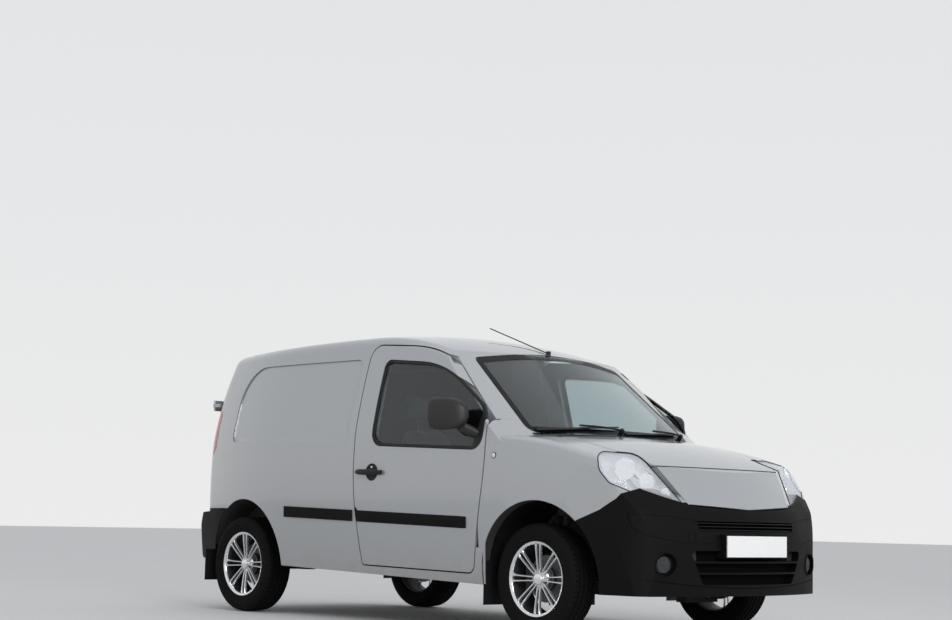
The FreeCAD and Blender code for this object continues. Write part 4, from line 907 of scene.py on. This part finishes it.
for sign, side in SIDES:
    body = "door_" + side + "_body"
    head = loft(bmesh.new(), [mirror_ring(station, sign) for station in MIRROR_HEAD])
    piece("mirror_head_" + side, head, body, "mirror_shell", replaces=["mirror_" + side], sharp=50.0)
    face = loft(bmesh.new(), [mirror_ring(station, sign) for station in MIRROR_FACE])
    piece("mirror_face_" + side, face, body, "mirror")
    foot = loft(bmesh.new(), [foot_ring(t, sign) for t in even(0, 1, 8)])
    piece("mirror_foot_" + side, foot, body, "mirror_shell")
    # Sail panel in the window's front corner
    pane = tree_of("door_glass_" + side)
    corner = [p for p in inset(rounded(DOOR_WINDOW, 0.02), 0.001) if p.x >= SAIL_X and p.y < SAIL_TOP_Z]
    corner.sort(key=lambda p: math.atan2(p.y - SAIL_CENTRE[1], p.x - SAIL_CENTRE[0]))
    sail = [[on_side(pane, sign, p.x, p.y, lift) for p in corner] for lift in (0.0006, 0.0125)]
    piece("mirror_sail_" + side, loft(bmesh.new(), sail), body, "black")


# Side indicators on the wings

INDICATOR = [(0.0, -0.002), (0.015, -0.002), (0.015, 0.003), (0.011, 0.007), (0.0, 0.0085)]
INDICATOR_BASE = [(0.0, -0.001), (0.0185, -0.001), (0.0185, 0.0018), (0.016, 0.003), (0.0, 0.003)]
wing_tree = tree_of("wings")
for sign, side in SIDES:
    at = on_side(wing_tree, sign, 0.945, 0.988)
    turned_piece("side_indicator_" + side, INDICATOR, at, (0, sign, 0), "body", "repeater", 32)
    turned_piece("indicator_base_" + side, INDICATOR_BASE, at, (0, sign, 0), "body", "black", 32)


# Skin between the front door's shut line and the wing, up to the pillar's foot

# The door outline's front edge: straight between two heights, with a long bend below and a tighter one above
DOOR_FRONT_X = 0.874
DOOR_STRAIGHT_Z = (1.019, 1.1294)
DOOR_BENDS = (1.5, 0.34)
PILLAR_EDGE_X = 0.8655
WING_EDGE_X = 0.8845
WING_Z = (0.268, 1.1995)
BEHIND_EDGE = 0.012


def door_edge_x(z):
    for past, radius in zip((DOOR_STRAIGHT_Z[0] - z, z - DOOR_STRAIGHT_Z[1]), DOOR_BENDS):
        if past > 0:
            return DOOR_FRONT_X - (radius - math.sqrt(radius ** 2 - past ** 2))
    return DOOR_FRONT_X


for sign, side in SIDES:
    shell = tree_of("wings", "body_side_" + side, "door_" + side)
    depth = Vector((0, -sign * SKIN, 0))
    rings = []
    for z in even(*WING_Z, 63):
        left = max(PILLAR_EDGE_X, door_edge_x(z))
        ahead = on_side(shell, sign, 0.888, z, 0.0, (0.95, 0.9))
        behind = on_side(shell, sign, left - BEHIND_EDGE, z, 0.0, (0.5, 0.9))
        slope = (ahead.y - behind.y) / (ahead.x - behind.x)
        under = behind.y - sign * 0.0002
        a, b = (Vector((x, under + slope * (x - behind.x), z)) for x in (left, WING_EDGE_X))
        rings.append([a, b, b + depth, a + depth])
    piece("wing_rear_edge_" + side, loft(bmesh.new(), rings), "body", "paint")


# Dark edges of the wheel openings, over the thickness of the skin

# (end, centre's x, centre's z, radius, first and last angle)
ARCHES = (("front", 1.262, 0.322, 0.418, (-6, 172)), ("rear", -1.432, 0.305, 0.425, (2, 178)))
# Section of the edge: (inside the opening's radius, inwards from the skin)
ARCH_EDGE = ((0.0004, 0.003), (0.0022, 0.003), (0.0022, 0.062), (0.0004, 0.062))
ARCH_PROBE = 0.003
SKIN_OUTSIDE_Y = 0.8
for sign, side in SIDES:
    skins = tree_of("wings", "front_bumper", "rear_bumper", "body_side_" + side)
    for end, arch_x, arch_z, arch_r, (first, last) in ARCHES:
        rings = []
        probe_r = arch_r + ARCH_PROBE
        for angle in even(first, last, 60):
            across, up = math.cos(math.radians(angle)), math.sin(math.radians(angle))
            probe = Vector((arch_x + probe_r * across, sign * SIDE_START, arch_z + probe_r * up))
            skin = skins.ray_cast(probe, Vector((0, -sign, 0)))[0]
            if skin and abs(skin.y) >= SKIN_OUTSIDE_Y:
                corners = [(arch_r - inside, skin.y - sign * inwards) for inside, inwards in ARCH_EDGE]
                rings.append([Vector((arch_x + r * across, y, arch_z + r * up)) for r, y in corners])
        piece("arch_edge_" + end + "_" + side, loft(bmesh.new(), rings), "body", "undercoat", sharp=60.0)


# Ledge over the rear bumper's corners, the tail lamps' wrap on to the sides, and the recess's lower edge

LEDGE_CENTRE = (-1.76, 0.7, 0.676)
LEDGE_TOP_Z = 0.668
LEDGE_LOW_Z = 0.626
LEDGE_WIDTH = 0.03
LEDGE_INNER_Y = 0.684
WRAP_X = -1.9565
WRAP_REACH = 0.06
WRAP_Z = (1.03, 1.345)
WRAP_THICKNESS = 0.003
# The foot of the recess's lower edge: (x, z) at its two ends, and how high the slope is
RECESS_REAR = (-1.645, 1.108)
RECESS_FRONT = (-0.362, 1.062)
RECESS_SLOPE_X = (-1.588, -0.372)
RECESS_SLOPE = 0.05


def bumper_ledge(tree, sign):
    centre = Vector((LEDGE_CENTRE[0], sign * LEDGE_CENTRE[1], LEDGE_CENTRE[2]))
    rings = []
    for angle in even(4, 84, 30):
        way = Vector((-math.sin(math.radians(angle)), sign * math.cos(math.radians(angle)), 0))
        hit = tree.ray_cast(centre + way * 1.2, -way)[0]
        if hit and abs(hit.y) >= LEDGE_INNER_Y:
            outer = Vector((hit.x, hit.y, 0)) - way * 0.002
            inner = outer - way * LEDGE_WIDTH
            corners = ((outer, LEDGE_TOP_Z), (outer, LEDGE_LOW_Z), (inner, LEDGE_LOW_Z), (inner, LEDGE_TOP_Z))
            rings.append([Vector((p.x, p.y, z)) for p, z in corners])
    return loft(bmesh.new(), rings)


def lamp_wrap(tree, sign):
    rings = []
    for t, z in zip(even(0, 1, 24), even(*WRAP_Z, 24)):
        reach = WRAP_REACH * min(1.0, 4.5 * t + 0.25, 6.0 * (1 - t) + 0.12)
        row = [on_side(tree, sign, x, z, 0.0016, (-1.5, 1.2)) for x in even(WRAP_X, WRAP_X + reach, 6)]
        rings.append(row + [q - Vector((0, sign * WRAP_THICKNESS, 0)) for q in reversed(row)])
    return loft(bmesh.new(), rings)


def recess_ledge(tree, sign):
    """A slope from the skin up to the recess's floor, lower at its ends."""
    slope = (RECESS_FRONT[1] - RECESS_REAR[1]) / (RECESS_FRONT[0] - RECESS_REAR[0])
    rings = []
    for k, x in enumerate(even(*RECESS_SLOPE_X, 40)):
        foot_z = RECESS_REAR[1] + (x - RECESS_REAR[0]) * slope
        ease = min(1.0, k / 6, (40 - k) / 6)
        low_at = on_side(tree, sign, x, foot_z - 0.004, 0.0)
        top_at = on_side(tree, sign, x, foot_z + 0.006 + RECESS_SLOPE * ease, 0.0002)
        inner = Vector((x, top_at.y, foot_z))
        rings.append([Vector((x, low_at.y - sign * 0.0006, foot_z + 0.0002)), top_at, inner])
    return loft(bmesh.new(), rings)


for sign, side in SIDES:
    corner_tree = tree_of("body_side_" + side)
    piece("rear_bumper_ledge_" + side, bumper_ledge(corner_tree, sign), "body", "bumper")
    piece("tail_lamp_wrap_" + side, lamp_wrap(corner_tree, sign), "body", "tail")
    piece("recess_ledge_" + side, recess_ledge(corner_tree, sign), "body", "paint", sharp=70.0)


# Wiper arms: (y, z, height over the glass) from the pivot outwards

WIPERS = (
    ("right", [(-0.085, 1.138, 0.03), (-0.16, 1.146, 0.032), (-0.26, 1.158, 0.026), (-0.36, 1.166, 0.019)]),
    ("left", [(0.545, 1.138, 0.028), (0.46, 1.146, 0.03), (0.36, 1.156, 0.024), (0.25, 1.162, 0.018)]),
)
WIPER_PIVOT = [(0.0, -0.03), (0.013, -0.03), (0.013, 0.006), (0.009, 0.011), (0.0, 0.012)]
for name, points in WIPERS:
    arm = [on_front(screen_tree, y, z, lift) for y, z, lift in points]
    tube("wiper_arm_" + name, arm, 0.006, "body", "black")
    turned_piece("wiper_pivot_" + name, WIPER_PIVOT, arm[0], (0.6, 0, 0.8), "body", "black", 24)


# Rear door handle

REAR_HANDLE_Y = -0.035
REAR_HANDLE_Z = (0.965, 1.095)
tail_tree = tree_of("rear_door_left")
rings = []
for t, z in zip(even(-1, 1, 12), even(*REAR_HANDLE_Z, 12)):
    place = tail_tree.ray_cast(Vector((-NOSE_START, REAR_HANDLE_Y, z)), Vector((1, 0, 0)))[0]
    swell = max(0.05, 1 - abs(t) ** 5) ** 0.5
    rings.append([place + Vector((-0.012 - 0.008 * swell * c, 0.017 * swell * s, 0)) for c, s in around(16)])
piece("rear_door_lever", loft(bmesh.new(), rings), "rear_door_left_body", "black")


# Seats: each cushion is inflated, then gets its sewn channels

VOXEL = 0.008
SIM_FRAMES = 18
MAX_SWELL = 0.018


def pad_cage(size, power=5.0, cuts=14):
    """A rounded block of that size, centred."""
    bm = bmesh.new()
    bmesh.ops.create_cube(bm, size=2.0)
    bmesh.ops.subdivide_edges(bm, edges=bm.edges, cuts=cuts, use_grid_fill=True)
    for v in bm.verts:
        c = v.co
        length = (abs(c.x) ** power + abs(c.y) ** power + abs(c.z) ** power) ** (1 / power)
        c = c / length
        pull = 1 - 0.035 * (1 - min(1.0, abs(c.x * c.y) * 1.6)) * (1 - abs(c.z))
        v.co = Vector((c.x * size[0] / 2 * pull, c.y * size[1] / 2 * pull, c.z * size[2] / 2))
    return bm


def inflate(obj):
    """Swells the pad as stuffed cloth does, by a capped amount."""
    scene = bpy.context.scene
    remesh = obj.modifiers.new("remesh", "REMESH")
    remesh.mode = "VOXEL"
    remesh.voxel_size = VOXEL
    graph = bpy.context.evaluated_depsgraph_get()
    mesh = bpy.data.meshes.new_from_object(obj.evaluated_get(graph))
    obj.modifiers.clear()
    obj.data = mesh
    rest = [v.co.copy() for v in mesh.vertices]
    cloth = obj.modifiers.new("cloth", "CLOTH")
    cloth.settings.use_pressure = True
    cloth.settings.uniform_pressure_force = 4.0
    cloth.settings.effector_weights.gravity = 0.0
    cloth.settings.quality = 4
    for number in range(1, SIM_FRAMES + 1):
        scene.frame_set(number)
    graph = bpy.context.evaluated_depsgraph_get()
    swollen = bpy.data.meshes.new_from_object(obj.evaluated_get(graph))
    obj.modifiers.clear()
    for vertex, start in zip(swollen.vertices, rest):
        move = vertex.co - start
        if move.length > MAX_SWELL:
            vertex.co = start + move.normalized() * MAX_SWELL
    obj.data = swollen
    scene.frame_set(1)


def sew(obj, lines, depth=0.006, width=0.01):
    """Presses channels into the face: each line is (axis, place) in the pad's own frame."""
    for v in obj.data.vertices:
        for axis, place in lines:
            away = abs(v.co[axis] - place)
            if away < width * 3:
                v.co.z -= math.copysign(depth * math.exp(-(away / width) ** 2), v.co.z)


# Pads of one seat: name, size, centre (x, z), pitch in degrees, channels
SEAT_PADS = (
    ("cushion", (0.48, 0.465, 0.115), (0.188, 0.632), -3.0, ((1, -0.135), (1, 0.135))),
    ("backrest", (0.56, 0.44, 0.1), (-0.152, 0.925), 105.0, ((1, -0.125), (1, 0.125), (0, 0.05))),
    ("headrest", (0.175, 0.245, 0.08), (-0.254, 1.305), 100.0, ()),
)
SEAT_Y = 0.39
BASE_X = 0.17
BASE_HALF = (0.2, 0.17)
# (height, how much wider than BASE_HALF)
BASE_RINGS = ((0.346, 0.0), (0.36, 0.01), (0.47, 0.0), (0.56, 0.02), (0.574, 0.024))
BASE_OUTLINE = (
    (-1, -0.9), (-0.95, -1), (0.95, -1), (1, -0.9), (1, 0.9), (0.95, 1), (-0.95, 1), (-1, 0.9),
)
POST = [(0.0, 0.0), (0.006, 0.0), (0.006, 0.12), (0.0, 0.12)]
# How much smaller a pad starts, so that it swells to its size
SWELL_ROOM = 0.016
for pad_name, size, (cx, cz), pitch, lines in SEAT_PADS:
    bm = pad_cage([s - SWELL_ROOM for s in size])
    mesh = bpy.data.meshes.new("seat_" + pad_name)
    bm.to_mesh(mesh)
    bm.free()
    master = add_object("seat_" + pad_name, mesh)
    inflate(master)
    sew(master, lines)
    shape = master.data
    bpy.data.objects.remove(master)
    for polygon in shape.polygons:
        polygon.use_smooth = True
    shape.materials.clear()
    shape.materials.append(FINISH["fabric"])
    for sign, side in SIDES:
        obj = add_object("seat_" + pad_name + "_" + side, shape.copy())
        lean = Matrix.Rotation(math.radians(-pitch), 4, "Y")
        obj.matrix_world = Matrix.Translation((cx, sign * SEAT_Y, cz)) @ lean
        settle(obj, "body", ["seats"])
for sign, side in SIDES:
    y = sign * SEAT_Y
    rings = []
    for z, grow in BASE_RINGS:
        half_x, half_y = (half + grow for half in BASE_HALF)
        rings.append([Vector((BASE_X + u * half_x, y + v * half_y, z)) for u, v in BASE_OUTLINE])
    piece("seat_base_" + side, loft(bmesh.new(), rings), "body", "trim")
    posts = bmesh.new()
    for offset in (-0.06, 0.06):
        turned(posts, POST, (-0.212, y + offset, 1.175), (-0.17, 0, 0.98), 12)
    piece("headrest_posts_" + side, posts, "body", "steel")


# Dashboard details

VENT = [(0.0, 0.001), (0.044, 0.001), (0.048, 0.008), (0.04, 0.009), (0.036, 0.003), (0.0, 0.003)]
GEAR_STICK = [
    (0.0, 0.0), (0.05, 0.0), (0.03, 0.05), (0.01, 0.08), (0.008, 0.17), (0.022, 0.18), (0.026, 0.205),
    (0.018, 0.23), (0.0, 0.235),
]
GEAR_GAITER = [(0.0, 0.0), (0.11, 0.0), (0.08, 0.1), (0.0, 0.12)]
GEAR_AXIS = (-0.5, 0, 0.86)

rings = []
for t, y in zip(even(-1, 1, 12), even(SEAT_Y - 0.17, SEAT_Y + 0.17, 12)):
    rise = 0.07 * (1 - t * t) ** 0.5
    top = ((0.725, 1.045 + rise), (0.76, 1.06 + rise), (0.86, 1.07 + rise * 0.4))
    rings.append([Vector((x, y, z)) for x, z in ((0.735, 1.04), *top, (0.87, 1.06))])
piece("instrument_hood", loft(bmesh.new(), rings), "body", "trim")
vents = bmesh.new()
for y in (-0.62, -0.09, 0.09, 0.62):
    turned(vents, VENT, (0.728, y, 0.985), (-1, 0, 0.15), 32)
piece("air_vents", vents, "body", "black")
gear = turned(bmesh.new(), GEAR_STICK, (0.66, 0.0, 0.8), GEAR_AXIS, 24)
turned(gear, GEAR_GAITER, (0.74, 0.0, 0.76), GEAR_AXIS, 24)
piece("gear_lever", gear, "body", "trim")


# Engine cover and filler cap under the bonnet

RIB_HEIGHT = 0.008
FILLER_CAP = [(0.0, 0.0), (0.03, 0.0), (0.032, 0.018), (0.026, 0.024), (0.0, 0.025)]
rings = []
for k, x in enumerate(even(1.27, 1.63, 14)):
    top = 0.868 + (RIB_HEIGHT if k % 2 else 0.0)
    section = ((-0.27, 0.831), (-0.27, 0.85), (-0.22, top), (0.22, top), (0.27, 0.85), (0.27, 0.831))
    rings.append([Vector((x, y, z)) for y, z in section])
piece("engine_cover", loft(bmesh.new(), rings), "body", "tank")
turned_piece("filler_cap", FILLER_CAP, (1.42, 0.12, 0.872), (0, 0, 1), "body", "black", 20)


# Stage: floor, light and camera

bm = bmesh.new()
bmesh.ops.create_grid(bm, x_segments=2, y_segments=2, size=60.0)
mesh = bpy.data.meshes.new("floor")
bm.to_mesh(mesh)
bm.free()
floor_material, tree, shader, coords = shader_of("floor", (0.66, 0.66, 0.66), 0.8)
drifted = add_mix(tree, add_noise(tree, coords, 0.8), (0.64, 0.64, 0.64), (0.68, 0.68, 0.68))
tree.links.new(drifted, shader.inputs["Base Color"])
mesh.materials.append(floor_material)
add_object("floor", mesh)

# The sky: a little bluer and weaker upwards
HORIZON, ZENITH = (0.97, 0.97, 0.97), (0.94, 0.97, 1.0)
world = bpy.data.worlds.new("studio")
bpy.context.scene.world = world
world.use_nodes = True
tree = world.node_tree
background = tree.nodes["Background"]
direction = tree.nodes.new("ShaderNodeTexCoord").outputs["Generated"]
split = tree.nodes.new("ShaderNodeSeparateXYZ")
tree.links.new(direction, split.inputs["Vector"])
height = split.outputs["Z"]
sky = add_mix(tree, add_range(tree, height, 0.0, 0.5, 0.0, 1.0), HORIZON, ZENITH)
tree.links.new(sky, background.inputs["Color"])
tree.links.new(add_range(tree, height, 0.0, 0.7, 0.86, 0.72), background.inputs["Strength"])


def softbox(name, place, aim, size, power, spread=180.0):
    light = bpy.data.lights.new(name, "AREA")
    light.shape = "RECTANGLE"
    light.size, light.size_y = size
    light.energy = power
    light.spread = math.radians(spread)
    obj = add_object(name, light)
    obj.location = place
    obj.rotation_mode = "QUATERNION"
    obj.rotation_quaternion = (Vector(aim) - Vector(place)).to_track_quat("-Z", "Y")


softbox("key", (8.6, -3.6, 3.8), (1.0, -0.2, 0.9), (4.0, 2.6), 60.0, 70.0)
softbox("overhead", (-1.0, 0.5, 7.0), (0.0, 0.0, 0.5), (7.0, 5.0), 25.0)

azimuth, elevation, roll = (math.radians(a) for a in (CAMERA_AZIMUTH, CAMERA_ELEVATION, CAMERA_ROLL))
level = math.cos(elevation)
back = Vector((math.sin(azimuth) * level, -math.cos(azimuth) * level, math.sin(elevation)))
right = Vector((math.cos(azimuth), math.sin(azimuth), 0))
up = back.cross(right)
right, up = right * math.cos(roll) + up * math.sin(roll), up * math.cos(roll) - right * math.sin(roll)
camera_data = bpy.data.cameras.new("camera")
camera_data.sensor_width = SENSOR
camera_data.lens = FOCAL_PIXELS / IMAGE_WIDTH * SENSOR
camera = add_object("camera", camera_data)
axes = Matrix((right, up, back)).transposed().to_4x4()
camera.matrix_world = Matrix.Translation(CAMERA_AT) @ axes
bpy.context.scene.camera = camera

bpy.context.scene.view_settings.view_transform = "Standard"
